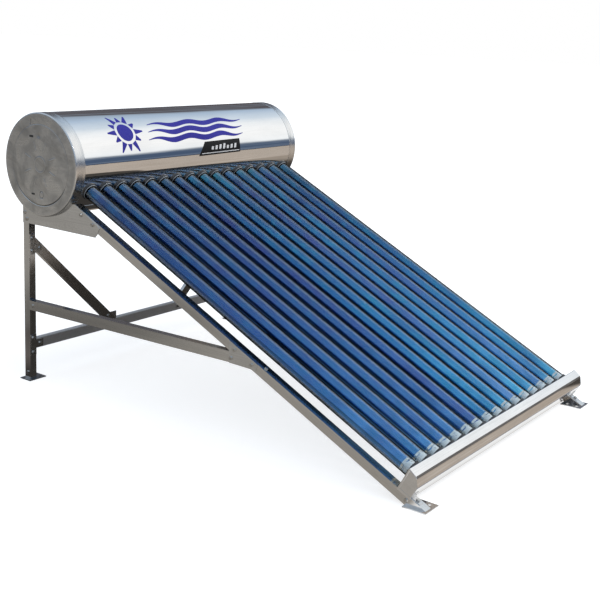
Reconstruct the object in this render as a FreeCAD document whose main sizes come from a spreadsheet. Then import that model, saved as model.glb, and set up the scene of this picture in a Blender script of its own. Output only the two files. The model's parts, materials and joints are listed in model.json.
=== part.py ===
import FreeCAD, Part
import math
import os
import Sketcher
from FreeCAD import Vector, Placement, Rotation

# Non-pressurised evacuated-tube solar water heater.
# World frame: +X along the tank, +Y to the back (tank side), +Z up, origin on
# the ground under the centre of the bounding box.  Millimetres.
# Tube frame: origin on the tank axis at mid length, -Z runs down the tubes,
# +Y points down and back out of the tube plane, +X as in the world frame.
# A place in the tube plane is given as s (distance down from the tank axis)
# and n (height above the tube axes).

DIMS = [
    # overall
    ("tank_len", 1425.0, "over the two end cap faces"),
    ("axis_y", 795.0, "tank axis in front-to-back direction"),
    ("axis_z", 908.5, "tank axis above the ground"),
    ("tilt", 25.6, "tubes from the horizontal, degrees"),
    ("tube_count", 16, "evacuated tubes"),
    ("tube_pitch", 83.0, "tube to tube"),
    # tank
    ("cap_rad", 203.0, "end cap outside radius"),
    ("cap_thk", 1.0, "end cap sheet"),
    ("cap_depth", 50.0, "end cap rim band"),
    ("shell_rad", 202.0, "outer shell outside radius"),
    ("shell_thk", 0.8, "outer shell sheet"),
    ("inner_rad", 160.0, "inner tank outside radius"),
    ("inner_thk", 1.2, "inner tank sheet"),
    ("inner_half", 664.0, "inner tank shell half length"),
    ("head_rise", 20.0, "inner tank head dish"),
    ("hole_rad", 33.0, "shell and foam hole for a tube"),
    ("seal_rad", 34.0, "silicone seal outside radius"),
    ("fit_gap", 0.05, "running gap round each tube"),
    # tube
    ("tube_len", 1800.0, "evacuated tube overall"),
    ("tube_top", 130.0, "tube mouth from the tank axis"),
    ("tube_rad", 29.0, "outer glass outside radius"),
    ("glass_out", 1.8, "outer glass wall"),
    ("glass_in", 1.6, "inner glass wall"),
    ("tube_inrad", 23.5, "inner glass outside radius"),
    ("clip_len", 9.0, "getter clip length"),
    # dust ring and seal
    ("dust_rad", 37.5, "dust ring outside radius"),
    ("dust_end", 218.0, "dust ring lower face from the tank axis"),
    ("seal_top", 148.0, "seal upper face from the tank axis"),
    ("seal_bot", 170.0, "seal lower face from the tank axis"),
    # frame
    ("frame_in", 22.5, "outer face of legs and rails from the cap face"),
    ("sheet", 2.0, "frame section sheet"),
    ("rail_wide", 35.0, "rail section across"),
    ("rail_deep", 34.0, "rail section depth"),
    ("rail_top", 45.0, "rail top face below the tube axes"),
    ("rail_start", 214.0, "rail upper end from the tank axis"),
    ("leg_front", 92.0, "leg front face behind the tank axis"),
    ("leg_deep", 32.0, "leg section depth"),
    ("leg_wide", 32.0, "leg section across"),
    ("leg_drop", 190.0, "leg top below the tank axis"),
    ("foot_thk", 4.0, "foot plate"),
    ("strut_high", 40.0, "side strut section height"),
    ("strut_wide", 30.0, "side strut section across"),
    ("strut_back", 322.0, "side strut centre height at the leg"),
    ("strut_fore", 339.0, "side strut centre height at the rail"),
    ("plate_thk", 2.5, "bracket plates"),
    ("bar_high", 40.0, "rear crossbar section height"),
    ("bar_deep", 28.0, "rear crossbar section depth"),
    ("bar_low", 132.0, "rear crossbar lower edge height"),
    ("bar_in", 56.0, "rear crossbar and braces start from the cap face"),
    ("brace_hi", 600.0, "brace upper edge height at the leg"),
    ("brace_lo", 545.0, "brace lower edge height at the leg"),
    ("brace_run", 461.0, "horizontal run of the brace edges"),
    ("brace_deep", 18.0, "brace section depth"),
    # tail stock
    ("tail_in", 12.5, "tail stock end caps from the cap face"),
    ("tail_back", 1882.0, "tail back wall from the tank axis"),
    ("tail_crest", 47.0, "tail back wall top above the tube axes"),
    ("tail_brow_s", 1919.0, "tail upper front edge, down the tubes"),
    ("tail_brow_n", 39.0, "tail upper front edge, above the tube axes"),
    ("tail_nose_s", 1940.0, "tail nose, down the tubes"),
    ("tail_nose_n", 8.0, "tail nose, above the tube axes"),
    ("tail_chin_s", 1937.0, "tail lower front edge, down the tubes"),
    ("tail_thk", 1.0, "tail stock sheet"),
    ("cup_rad", 33.0, "tube cup outside radius"),
    ("cup_mouth", 1868.0, "tube cup mouth from the tank axis"),
    ("cup_ball", 33.0, "tube cup rounded end radius"),
    # plumbing
    ("port_rad", 13.2, "G 3/4 pipe stub outside radius"),
    ("port_bore", 9.5, "G 3/4 pipe stub bore radius"),
    ("vent_rad", 10.4, "G 1/2 vent stub outside radius"),
    ("vent_bore", 7.5, "G 1/2 vent stub bore radius"),
    ("port_off", 500.0, "inlet and outlet from mid tank"),
    ("port_drop", 118.0, "inlet and outlet below, vent above the tank axis"),
    ("thread_start", 178.0, "stub thread starts behind the tank axis"),
    ("port_end", 202.0, "stub ends behind the tank axis"),
    # fasteners
    ("bolt_rad", 4.0, "M8 shank"),
    ("bolt_hole", 4.5, "M8 clearance hole"),
    ("anchor_hole", 5.5, "foot anchor hole"),
]
V = dict((a, v) for a, v, _ in DIMS)


class Dim:
    """A number that also carries the spreadsheet expression it came from."""

    def __init__(self, val, ex=None):
        self.val = float(val)
        self.ex = ex if ex is not None else "%.9g" % val

    @staticmethod
    def of(other):
        return other if isinstance(other, Dim) else Dim(other)

    def __add__(self, o):
        o = Dim.of(o)
        return Dim(self.val + o.val, "(%s + %s)" % (self.ex, o.ex))

    def __radd__(self, o):
        return Dim.of(o) + self

    def __sub__(self, o):
        o = Dim.of(o)
        return Dim(self.val - o.val, "(%s - %s)" % (self.ex, o.ex))

    def __rsub__(self, o):
        return Dim.of(o) - self

    def __mul__(self, o):
        o = Dim.of(o)
        return Dim(self.val * o.val, "(%s * %s)" % (self.ex, o.ex))

    def __rmul__(self, o):
        return Dim.of(o) * self

    def __truediv__(self, o):
        o = Dim.of(o)
        return Dim(self.val / o.val, "(%s / %s)" % (self.ex, o.ex))

    def __neg__(self):
        return Dim(-self.val, "(-1 * %s)" % self.ex)


def D(alias):
    return Dim(V[alias], "dims.%s" % alias)


SIN = Dim(math.sin(math.radians(V["tilt"])), "sin(dims.tilt)")
COS = Dim(math.cos(math.radians(V["tilt"])), "cos(dims.tilt)")
HALF = D("tank_len") / 2

doc = FreeCAD.newDocument("solar_water_heater")
sheet = doc.addObject("Spreadsheet::Sheet", "dims")
for i, (alias, val, note) in enumerate(DIMS):
    row = i + 1
    sheet.set("A%d" % row, alias)
    sheet.set("B%d" % row, "%g" % val)
    sheet.set("C%d" % row, note)
    sheet.setAlias("B%d" % row, alias)
doc.recompute()

NODES = []


def bind(obj, prop, dim):
    dim = Dim.of(dim)
    if dim.ex.startswith("dims") or "(" in dim.ex:
        obj.setExpression(prop, dim.ex)


def node(obj, label):
    obj.Label = label
    NODES.append((label, obj))
    return obj


def place(obj, base, rot=None):
    obj.Placement = Placement(Vector(*[Dim.of(b).val for b in base]), rot or Rotation())
    for axis, b in zip("xyz", base):
        bind(obj, "Placement.Base.%s" % axis, b)


def tube_rotation():
    return Rotation(Vector(1, 0, 0), -(90.0 - V["tilt"]))


def place_tube_frame(obj, x=0.0, s=0.0):
    """Tube frame placement, moved to x and to s down the tubes."""
    s = Dim.of(s)
    place(obj, (x, D("axis_y") - s * COS, D("axis_z") - s * SIN), tube_rotation())


def yz(s, n):
    """World Y and Z of a place in the tube plane."""
    s, n = Dim.of(s), Dim.of(n)
    return (D("axis_y") - s * COS - n * SIN, D("axis_z") - s * SIN + n * COS)


def new_body(label):
    body = doc.addObject("PartDesign::Body", label)
    body.Label = label
    if hasattr(body, "AllowCompound"):
        body.AllowCompound = True
    return body


def origin_plane(body, role):
    for f in body.Origin.OriginFeatures:
        if f.Role == role:
            return f
    raise RuntimeError(role)


def new_sketch(body, name, plane, offset=None):
    sk = body.newObject("Sketcher::SketchObject", name)
    sk.AttachmentSupport = [(origin_plane(body, plane), "")]
    sk.MapMode = "FlatFace"
    if offset is not None:
        offset = Dim.of(offset)
        sk.AttachmentOffset = Placement(Vector(0, 0, offset.val), Rotation())
        bind(sk, "AttachmentOffset.Base.z", offset)
    return sk


def fix_point(sk, geo, pos, x, y, tag):
    x, y = Dim.of(x), Dim.of(y)
    for val, kind, axis, nm in ((x, "DistanceX", -2, "x"), (y, "DistanceY", -1, "y")):
        if abs(val.val) < 1e-9:
            sk.addConstraint(Sketcher.Constraint("PointOnObject", geo, pos, axis))
        else:
            i = sk.addConstraint(Sketcher.Constraint(kind, -1, 1, geo, pos, val.val))
            sk.renameConstraint(i, "%s_%s" % (nm, tag))
            bind(sk, "Constraints.%s_%s" % (nm, tag), val)


def polygon(sk, pts, tag="p"):
    pts = [(Dim.of(a), Dim.of(b)) for a, b in pts]
    first = sk.GeometryCount
    count = len(pts)
    for i in range(count):
        a, b = pts[i], pts[(i + 1) % count]
        sk.addGeometry(Part.LineSegment(Vector(a[0].val, a[1].val, 0), Vector(b[0].val, b[1].val, 0)), False)
    for i in range(count):
        sk.addConstraint(Sketcher.Constraint("Coincident", first + i, 2, first + (i + 1) % count, 1))
    for i in range(count):
        fix_point(sk, first + i, 1, pts[i][0], pts[i][1], "%s%d" % (tag, i))
    return first


def circle(sk, x, y, rad, tag="c"):
    x, y, rad = Dim.of(x), Dim.of(y), Dim.of(rad)
    g = sk.addGeometry(Part.Circle(Vector(x.val, y.val, 0), Vector(0, 0, 1), rad.val), False)
    i = sk.addConstraint(Sketcher.Constraint("Radius", g, rad.val))
    sk.renameConstraint(i, "rad_%s" % tag)
    bind(sk, "Constraints.rad_%s" % tag, rad)
    if abs(x.val) < 1e-9 and abs(y.val) < 1e-9:
        sk.addConstraint(Sketcher.Constraint("Coincident", g, 3, -1, 1))
    else:
        fix_point(sk, g, 3, x, y, tag)
    return g


def feature(body, kind, name, sk, **props):
    f = body.newObject("PartDesign::" + kind, name)
    f.Profile = sk
    for k, v in props.items():
        if isinstance(v, Dim):
            setattr(f, k, v.val)
            bind(f, k, v)
        else:
            setattr(f, k, v)
    return f


def revolve(body, kind, name, sk, axis):
    f = body.newObject("PartDesign::" + kind, name)
    f.Profile = sk
    f.ReferenceAxis = (sk, [axis])
    f.Angle = 360.0
    return f


def pattern_x(body, name, feat, sk, count, pitch):
    """Repeat a feature along X."""
    f = body.newObject("PartDesign::LinearPattern", name)
    f.Originals = [feat]
    f.Direction = (sk, ["H_Axis"])
    span = pitch * (count - 1)
    f.Length = span.val
    bind(f, "Length", span)
    f.Occurrences = int(count.val)
    bind(f, "Occurrences", count)
    body.Tip = f
    return f


FIRST_X = -(D("tube_pitch") * (D("tube_count") - 1) / 2)
PITCH, COUNT = D("tube_pitch"), D("tube_count")


# ---------------------------------------------------------------- fasteners
# Each entry: position of the outer face under the head, direction of the
# shank, grip length.  X is measured from the left cap face.
def both_sides(x_in, y, z, axis, grip):
    out = []
    for side in (-1, 1):
        x = side * (V["tank_len"] / 2 - x_in)
        d = Vector(-side * axis[0], axis[1], axis[2])
        out.append((Vector(x, y, z), d, grip))
    return out


def sn(s, n):
    a, b = yz(s, n)
    return a.val, b.val


AY, AZ = V["axis_y"], V["axis_z"]
PL, SH = V["plate_thk"], V["sheet"]
FR_IN = V["frame_in"]
LEG_Y = AY + V["leg_front"]
bolts = []
inx = (1, 0, 0)
# side plate to leg and to rail
bolts += both_sides(FR_IN - PL, LEG_Y + 10, AZ - 229, inx, PL + SH)
bolts += both_sides(FR_IN - PL, LEG_Y + 21, AZ - 203, inx, PL + SH)
for s in (262.0, 330.0):
    y, z = sn(s, -62.0)
    bolts += both_sides(FR_IN - PL, y, z, inx, PL + SH)
# gusset to rail and to strut
y, z = sn(1120.0, -62.0)
bolts += both_sides(FR_IN - PL, y, z, inx, PL + SH)
y, z = sn(1206.0, -62.0)
bolts += both_sides(FR_IN - PL, y, z, inx, PL + SH)
bolts += both_sides(FR_IN - PL, AY - 968, V["strut_fore"] - 3, inx, PL + SH)
# strut to its cleat, cleat to leg
bolts += both_sides(FR_IN, LEG_Y - 16, V["strut_back"], inx, SH + PL)
bolts += both_sides(FR_IN + 17, LEG_Y - PL, V["strut_back"], (0, 1, 0), PL + SH)
# crossbar clip to leg (two) and to crossbar
bar_mid = V["bar_low"] + V["bar_high"] / 2
bolts += both_sides(FR_IN + 16, LEG_Y - PL, bar_mid + 28, (0, 1, 0), PL + SH)
bolts += both_sides(FR_IN + 16, LEG_Y - PL, bar_mid - 34, (0, 1, 0), PL + SH)
bolts += both_sides(FR_IN + 52, LEG_Y - PL, bar_mid, (0, 1, 0), PL + SH)
# brace upper clip to leg (two) and to brace
bolts += both_sides(FR_IN + 15, LEG_Y - PL, 600.0, (0, 1, 0), PL + SH)
bolts += both_sides(FR_IN + 15, LEG_Y - PL, 548.0, (0, 1, 0), PL + SH)
bolts += both_sides(FR_IN + 54, LEG_Y - PL, 555.0, (0, 1, 0), PL + SH)
# brace lower clip, behind the webs, to brace and to crossbar
bolts += both_sides(470.0, LEG_Y, 192.0, (0, 1, 0), SH + PL)
bolts += both_sides(500.0, LEG_Y, bar_mid, (0, 1, 0), SH + PL)
# foot tabs to leg and to rail
bolts += both_sides(FR_IN, LEG_Y + 16, 30.0, inx, SH + V["foot_thk"])
y, z = sn(1925.0, -62.0)
bolts += both_sides(FR_IN, y, z, inx, SH + V["foot_thk"])
# tail stock lug to the top of the rail
for s in (1956.0,):
    y, z = sn(s, -V["rail_top"] + PL)
    bolts += both_sides(FR_IN + 17, y, z, (0, math.sin(math.radians(V["tilt"])), -math.cos(math.radians(V["tilt"]))), PL + SH)

# roof-frame bolt through the rail's top flange below the strut joint
y, z = sn(1256.0, -V["rail_top"])
bolts += both_sides(FR_IN + 17, y, z, (0, math.sin(math.radians(V["tilt"])), -math.cos(math.radians(V["tilt"]))), SH)


def hexagon(across, height, at, d):
    """Hexagonal prism with a chamfered crown, from a point along d."""
    r = across / math.sqrt(3.0)
    rot = Rotation(Vector(0, 0, 1), d)
    pts = [Vector(r * math.cos(math.radians(60 * k)), r * math.sin(math.radians(60 * k)), 0) for k in range(7)]
    prism = Part.Face(Part.makePolygon(pts)).extrude(Vector(0, 0, height))
    crown = Part.makeCone(r + 0.6, r - 1.2, height)
    body = prism.common(crown)
    body.Placement = Placement(at, rot)
    return body


def bolt_shape(at, d, grip):
    head = hexagon(13.0, 5.3, at, d * -1.0)
    shank = Part.makeCylinder(V["bolt_rad"], grip + 11.0, at, d)
    return head.fuse(shank).removeSplitter()


def nut_shape(at, d, grip):
    start = at + d * grip
    nut = hexagon(13.0, 6.5, start, d)
    return nut.cut(Part.makeCylinder(V["bolt_rad"], 20.0, at, d))


bolt_obj = doc.addObject("Part::Feature", "frame_bolts")
bolt_obj.Shape = Part.makeCompound([bolt_shape(*b) for b in bolts])
bolt_obj.Placement = Placement()
node(bolt_obj, "frame_bolts")
nut_obj = doc.addObject("Part::Feature", "frame_nuts")
nut_obj.Shape = Part.makeCompound([nut_shape(*b) for b in bolts])
nut_obj.Placement = Placement()
node(nut_obj, "frame_nuts")

hole_cyls = []
for k, (at, d, grip) in enumerate(bolts):
    c = doc.addObject("Part::Cylinder", "bolt_hole_%02d" % k)
    c.Radius = V["bolt_hole"]
    bind(c, "Radius", D("bolt_hole"))
    c.Height = grip + 3.0
    c.Placement = Placement(at - d * 1.5, Rotation(Vector(0, 0, 1), d))
    hole_cyls.append(c)
bolt_holes = doc.addObject("Part::Compound", "bolt_holes")
bolt_holes.Links = hole_cyls


def drilled(body, label, tool=None):
    cut = doc.addObject("Part::Cut", label)
    cut.Base = body
    cut.Tool = tool or bolt_holes
    body.Label = label + "_blank"
    return node(cut, label)


# ---------------------------------------------------------------- plumbing
# Three stubs leave the inner tank straight back; the vent is high, the
# inlet and outlet are low.
def stub(label, x, drop, rad, bore):
    """Welded pipe: plain length through the foam, then a threaded end."""
    inner = doc.addObject("Part::Cylinder", label + "_bore")
    plain = doc.addObject("Part::Cylinder", label + "_plain")
    thread = doc.addObject("Part::Cylinder", label + "_thread")
    start, neck = 95.0, D("thread_start")
    for c, r, a, b in ((inner, bore, start, D("port_end")), (plain, rad - 1.2, start, neck), (thread, rad, neck, D("port_end"))):
        a = Dim.of(a)
        c.Radius = r.val
        bind(c, "Radius", r)
        c.Height = (b - a).val
        bind(c, "Height", b - a)
        place(c, (x, D("axis_y") + a, D("axis_z") + drop), Rotation(Vector(0, 0, 1), Vector(0, 1, 0)))
    outer = doc.addObject("Part::Fuse", label + "_outer")
    outer.Base, outer.Tool = plain, thread
    pipe = doc.addObject("Part::Cut", label + "_pipe")
    pipe.Base, pipe.Tool = outer, inner
    return outer, inner, pipe


ports = [
    stub("cold_inlet", -D("port_off"), -D("port_drop"), D("port_rad"), D("port_bore")),
    stub("hot_outlet", D("port_off"), -D("port_drop"), D("port_rad"), D("port_bore")),
    stub("vent", Dim(0), D("port_drop"), D("vent_rad"), D("vent_bore")),
]
port_solids = doc.addObject("Part::Compound", "port_solids")
port_solids.Links = [p[0] for p in ports]
for (outer, inner, pipe), label in zip(ports, ("cold_inlet_stub", "hot_outlet_stub", "vent_stub")):
    # each stub starts on the inner tank's outer surface
    core = doc.addObject("Part::Cylinder", label + "_core")
    core.Radius = V["inner_rad"]
    bind(core, "Radius", D("inner_rad"))
    core.Height = V["tank_len"]
    bind(core, "Height", D("tank_len"))
    place(core, (-HALF, D("axis_y"), D("axis_z")), Rotation(Vector(0, 0, 1), Vector(1, 0, 0)))
    cut = doc.addObject("Part::Cut", label)
    cut.Base, cut.Tool = pipe, core
    node(cut, label)
port_bores = doc.addObject("Part::Compound", "port_bores")
port_bores.Links = [p[1] for p in ports]

# rubber grommets where the stubs pass the shell
groms = []
for (outer, inner, pipe), rad, label in zip(ports, ("port_rad", "port_rad", "vent_rad"), ("a", "b", "c")):
    ring = doc.addObject("Part::Cylinder", "grommet_" + label)
    ring.Radius = (D(rad) + 5).val
    bind(ring, "Radius", D(rad) + 5)
    ring.Height = (D("thread_start") - 140.0).val
    bind(ring, "Height", D("thread_start") - 140.0)
    at = inner.Placement.Base
    ring.Placement = Placement(Vector(at.x, AY + 140.0, at.z), Rotation(Vector(0, 0, 1), Vector(0, 1, 0)))
    groms.append(ring)
grom_all = doc.addObject("Part::Compound", "grommet_blanks")
grom_all.Links = groms
foam_zone = doc.addObject("Part::Cylinder", "foam_zone")
foam_zone.Radius = (D("shell_rad") - D("shell_thk")).val
bind(foam_zone, "Radius", D("shell_rad") - D("shell_thk"))
foam_zone.Height = V["tank_len"]
bind(foam_zone, "Height", D("tank_len"))
place(foam_zone, (-HALF, D("axis_y"), D("axis_z")), Rotation(Vector(0, 0, 1), Vector(1, 0, 0)))
grom_cut = doc.addObject("Part::Cut", "grommets_outside")
grom_cut.Base, grom_cut.Tool = grom_all, foam_zone
grom_bored = doc.addObject("Part::Cut", "pipe_grommets")
grom_bored.Base, grom_bored.Tool = grom_cut, port_solids
node(grom_bored, "pipe_grommets")
# the shell opening is filled by the grommet
shell_tool = doc.addObject("Part::Compound", "shell_openings")
shell_tool.Links = groms


# ---------------------------------------------------------------- tank
def tank_barrel(name, rad, thk, half, hole):
    body = new_body(name)
    sk = new_sketch(body, name + "_ring", "YZ_Plane")
    circle(sk, 0, 0, rad, "out")
    if thk is not None:
        circle(sk, 0, 0, rad - thk, "inn")
    feature(body, "Pad", name + "_pad", sk, Length=2 * half, Midplane=True)
    hs = new_sketch(body, name + "_hole", "XY_Plane")
    circle(hs, FIRST_X, 0, hole, "hole")
    pk = feature(body, "Pocket", name + "_pocket", hs, Type=0, Length=rad + 20)
    pattern_x(body, name + "_holes", pk, hs, COUNT, PITCH)
    place_tube_frame(body)
    return body


shell = tank_barrel("shell_barrel", D("shell_rad"), D("shell_thk"), HALF - 6, D("hole_rad"))
drilled(shell, "outer_shell", shell_tool)

inner = tank_barrel("inner_barrel", D("inner_rad"), D("inner_thk"), D("inner_half"), D("seal_rad"))
drilled(inner, "inner_tank", port_bores)


def dish(label, side):
    """Shallow dished head welded into the end of the inner tank."""
    body = new_body(label)
    sk = new_sketch(body, label + "_profile", "XY_Plane")
    r = D("inner_rad")
    h = D("inner_half")
    w = D("inner_thk")
    rise = D("head_rise")
    pts = [(h, r), (h + rise * 0.55, r * 0.93), (h + rise * 0.85, r * 0.7), (h + rise, r * 0.35), (h + rise, 0),
           (h + rise - w, 0), (h + rise - w, r * 0.345), (h + rise * 0.85 - w, r * 0.695),
           (h + rise * 0.55 - w * 1.3, r * 0.92), (h, r - w * 1.6)]
    polygon(sk, [((a if side > 0 else -Dim.of(a)), b) for a, b in pts])
    revolve(body, "Revolution", label + "_turned", sk, "H_Axis")
    place(body, (0, D("axis_y"), D("axis_z")))
    return node(body, label)


dish("tank_head_left", -1)
dish("tank_head_right", 1)

# polyurethane foam between the two shells
foam = tank_barrel("foam_barrel", D("shell_rad") - D("shell_thk"), None, HALF - 3.6, D("seal_rad"))
tank_env = new_body("tank_envelope")
sk = new_sketch(tank_env, "tank_envelope_profile", "XY_Plane")
r, h, rise = D("inner_rad"), D("inner_half"), D("head_rise")
polygon(sk, [(-h, r), (h, r), (h + rise * 0.55, r * 0.93), (h + rise * 0.85, r * 0.7), (h + rise, r * 0.35), (h + rise, 0),
             (-(h + rise), 0), (-(h + rise), r * 0.35), (-(h + rise * 0.85), r * 0.7), (-(h + rise * 0.55), r * 0.93)])
revolve(tank_env, "Revolution", "tank_envelope_turned", sk, "H_Axis")
place(tank_env, (0, D("axis_y"), D("axis_z")))
foam_tool = doc.addObject("Part::MultiFuse", "foam_core")
foam_tool.Shapes = [tank_env, ports[0][0], ports[1][0], ports[2][0]]
drilled(foam, "foam_insulation", foam_tool)


def end_cap(label, side):
    """Pressed pan with a rolled rim band, a ring groove and a stepped rim."""
    body = new_body(label)
    sk = new_sketch(body, label + "_profile", "XY_Plane")
    R, w, dep = D("cap_rad"), D("cap_thk"), D("cap_depth")
    L = HALF
    pts = [(L, 0), (L, R * 0.765), (L - 2.2, R * 0.775), (L - 2.2, R * 0.79), (L, R * 0.80), (L, R - 5),
           (L - 1.6, R - 1.4), (L - 5, R), (L - dep, R), (L - dep, R - w), (L - 5.4, R - w),
           (L - 2.4, R - w - 1.2), (L - w, R - w - 4.6), (L - w, R * 0.805), (L - 2.2 - w, R * 0.795),
           (L - 2.2 - w, R * 0.77), (L - w, R * 0.76), (L - w, 0)]
    polygon(sk, [((a if side > 0 else -a), b) for a, b in pts])
    revolve(body, "Revolution", label + "_turned", sk, "H_Axis")
    place(body, (0, D("axis_y"), D("axis_z")))
    return node(body, label)


end_cap("end_cap_left", -1)
end_cap("end_cap_right", 1)


# ---------------------------------------------------------------- tubes
def arc_chain(sk, items):
    """items: ('L', p, q) or ('A', centre, radius, a0, a1) in order round the loop."""
    geos = []
    for it in items:
        if it[0] == "L":
            geos.append(sk.addGeometry(Part.LineSegment(Vector(it[1][0], it[1][1], 0), Vector(it[2][0], it[2][1], 0)), False))
        else:
            c = Part.Circle(Vector(it[1][0], it[1][1], 0), Vector(0, 0, 1), it[2])
            geos.append(sk.addGeometry(Part.ArcOfCircle(c, it[3], it[4]), False))
    return geos


def tube_body(label, x):
    """Double-walled glass tube, mouth up, with the getter clip in the vacuum."""
    body = new_body(label)
    L, R, wo = D("tube_len"), D("tube_rad"), D("glass_out")
    Ri, wi = D("tube_inrad"), D("glass_in")
    # glass envelope with its bore: XZ plane, X is the radius, Y the height
    sk = new_sketch(body, label + "_glass", "XZ_Plane")
    bore = Ri - wi
    deep = L - 22.0
    lip = (R - bore) / 2
    g = arc_chain(sk, [
        ("A", (0, -(L - R).val), R.val, 1.5 * math.pi, 2 * math.pi),
        ("L", (R.val, -(L - R).val), (R.val, -lip.val)),
        ("A", ((R - lip).val, -lip.val), lip.val, 0, math.pi),
        ("L", (bore.val, -lip.val), (bore.val, -(deep - bore).val)),
        ("A", (0, -(deep - bore).val), bore.val, 1.5 * math.pi, 2 * math.pi),
        ("L", (0, -deep.val), (0, -L.val)),
    ])
    join = Sketcher.Constraint
    sk.addConstraint(join("Coincident", g[0], 2, g[1], 1))
    sk.addConstraint(join("Coincident", g[1], 2, g[2], 1))
    sk.addConstraint(join("Coincident", g[2], 2, g[3], 1))
    sk.addConstraint(join("Coincident", g[3], 2, g[4], 2))
    sk.addConstraint(join("Coincident", g[4], 1, g[5], 1))
    sk.addConstraint(join("Coincident", g[5], 2, g[0], 1))
    fix_point(sk, g[0], 3, 0, -(L - R), "c_end")
    fix_point(sk, g[4], 3, 0, -(deep - bore), "c_floor")
    sk.addConstraint(join("PointOnObject", g[5], 1, -2))
    sk.addConstraint(join("PointOnObject", g[5], 2, -2))
    fix_point(sk, g[1], 1, R, -(L - R), "shoulder")
    fix_point(sk, g[1], 2, R, -lip, "mouth")
    fix_point(sk, g[3], 1, bore, -lip, "bore")
    fix_point(sk, g[3], 2, bore, -(deep - bore), "floor")
    i = sk.addConstraint(join("DistanceY", -1, 1, g[2], 3, -lip.val))
    sk.renameConstraint(i, "lip_mid")
    bind(sk, "Constraints.lip_mid", -lip)
    revolve(body, "Revolution", label + "_blank", sk, "V_Axis")
    # vacuum jacket, cut out of the glass
    sk = new_sketch(body, label + "_vacuum", "XZ_Plane")
    Ro = R - wo
    top = lip * 2
    g = arc_chain(sk, [
        ("A", (0, -(L - R).val), Ro.val, 1.5 * math.pi, 2 * math.pi),
        ("L", (Ro.val, -(L - R).val), (Ro.val, -top.val)),
        ("L", (Ro.val, -top.val), (Ri.val, -top.val)),
        ("L", (Ri.val, -top.val), (Ri.val, -(deep - bore).val)),
        ("A", (0, -(deep - bore).val), Ri.val, 1.5 * math.pi, 2 * math.pi),
        ("L", (0, -(deep + wi).val), (0, -(L - wo).val)),
    ])
    sk.addConstraint(join("Coincident", g[0], 2, g[1], 1))
    sk.addConstraint(join("Coincident", g[1], 2, g[2], 1))
    sk.addConstraint(join("Coincident", g[2], 2, g[3], 1))
    sk.addConstraint(join("Coincident", g[3], 2, g[4], 2))
    sk.addConstraint(join("Coincident", g[4], 1, g[5], 1))
    sk.addConstraint(join("Coincident", g[5], 2, g[0], 1))
    fix_point(sk, g[0], 3, 0, -(L - R), "c_end")
    fix_point(sk, g[4], 3, 0, -(deep - bore), "c_floor")
    sk.addConstraint(join("PointOnObject", g[5], 1, -2))
    sk.addConstraint(join("PointOnObject", g[5], 2, -2))
    fix_point(sk, g[1], 2, Ro, -top, "top_out")
    fix_point(sk, g[3], 1, Ri, -top, "top_in")
    fix_point(sk, g[1], 1, Ro, -(L - R), "low_out")
    fix_point(sk, g[3], 2, Ri, -(deep - bore), "low_in")
    revolve(body, "Groove", label + "_jacket", sk, "V_Axis")
    # getter clip: a flanged spring-steel ring round the end of the inner tube
    sk = new_sketch(body, label + "_clip", "XZ_Plane")
    z = -(deep - bore) + 4
    k = D("clip_len")
    polygon(sk, [(Ri + 0.15, z), (Ri + 0.65, z), (Ri + 0.65, z - k + 0.5), (Ro - 0.15, z - k + 0.5),
                 (Ro - 0.15, z - k), (Ri + 0.15, z - k)])
    revolve(body, "Revolution", label + "_ring", sk, "V_Axis")
    place_tube_frame(body, x, D("tube_top"))
    return node(body, label)


for i in range(int(V["tube_count"])):
    tube_body("evacuated_tube_%02d" % (i + 1), FIRST_X + PITCH * i)


def ring_row(label, outer_rad, s_top, s_bot, saddle=None, inner=None):
    body = new_body(label)
    sk = new_sketch(body, label + "_ring", "XY_Plane", -Dim.of(s_bot))
    circle(sk, FIRST_X, 0, outer_rad, "out")
    circle(sk, FIRST_X, 0, inner or (D("tube_rad") + D("fit_gap")), "inn")
    pad = feature(body, "Pad", label + "_pad", sk, Length=Dim.of(s_bot) - s_top)
    pattern_x(body, label + "_row", pad, sk, COUNT, PITCH)
    if saddle is not None:
        sk2 = new_sketch(body, label + "_saddle", "YZ_Plane")
        circle(sk2, 0, 0, saddle, "saddle")
        feature(body, "Pocket", label + "_seat", sk2, Type=0, Length=D("tank_len") + 10, Midplane=True)
    place_tube_frame(body)
    return node(body, label)


ring_row("tube_seals", D("seal_rad"), D("seal_top"), D("seal_bot"))
ring_row("dust_rings", D("dust_rad"), Dim(180), D("dust_end"), D("shell_rad"))

# tube cups: a sleeve with a ball seat for the tube end
cups = new_body("tube_cups")
sk = new_sketch(cups, "cup_profile", "XZ_Plane")
R0 = D("tube_rad") + D("fit_gap")
centre = -(D("tube_top") + D("tube_len") - D("tube_rad"))
mouth = -D("cup_mouth")
RC, RB = D("cup_rad"), D("cup_ball")
corner = [(RC, centre)] + [(RB * k, centre - RB * m) for k, m in ((0.924, 0.380), (0.707, 0.705), (0.382, 0.922))] + [(Dim(8.0), centre - RB * 0.968)]
outline = [(R0, centre), (R0, mouth), (RC, mouth)] + corner
items = [("L", (p[0].val, p[1].val), (q[0].val, q[1].val)) for p, q in zip(outline, outline[1:])]
seat_z = centre.val - math.sqrt(R0.val ** 2 - 64.0)
items.append(("L", (8.0, outline[-1][1].val), (8.0, seat_z)))
items.append(("A", (0.0, centre.val), R0.val, 2 * math.pi - math.acos(8.0 / R0.val), 2 * math.pi))
g = arc_chain(sk, items)
J = Sketcher.Constraint
last = len(g) - 1
for k in range(last - 1):
    sk.addConstraint(J("Coincident", g[k], 2, g[k + 1], 1))
sk.addConstraint(J("Coincident", g[last - 1], 2, g[last], 1))
sk.addConstraint(J("Coincident", g[last], 2, g[0], 1))
fix_point(sk, g[last], 3, 0, centre, "ball")
for k, (px, py) in enumerate(outline):
    fix_point(sk, g[k], 1, px, py, "w%d" % k)
sk.addConstraint(J("Vertical", g[last - 1]))
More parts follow.
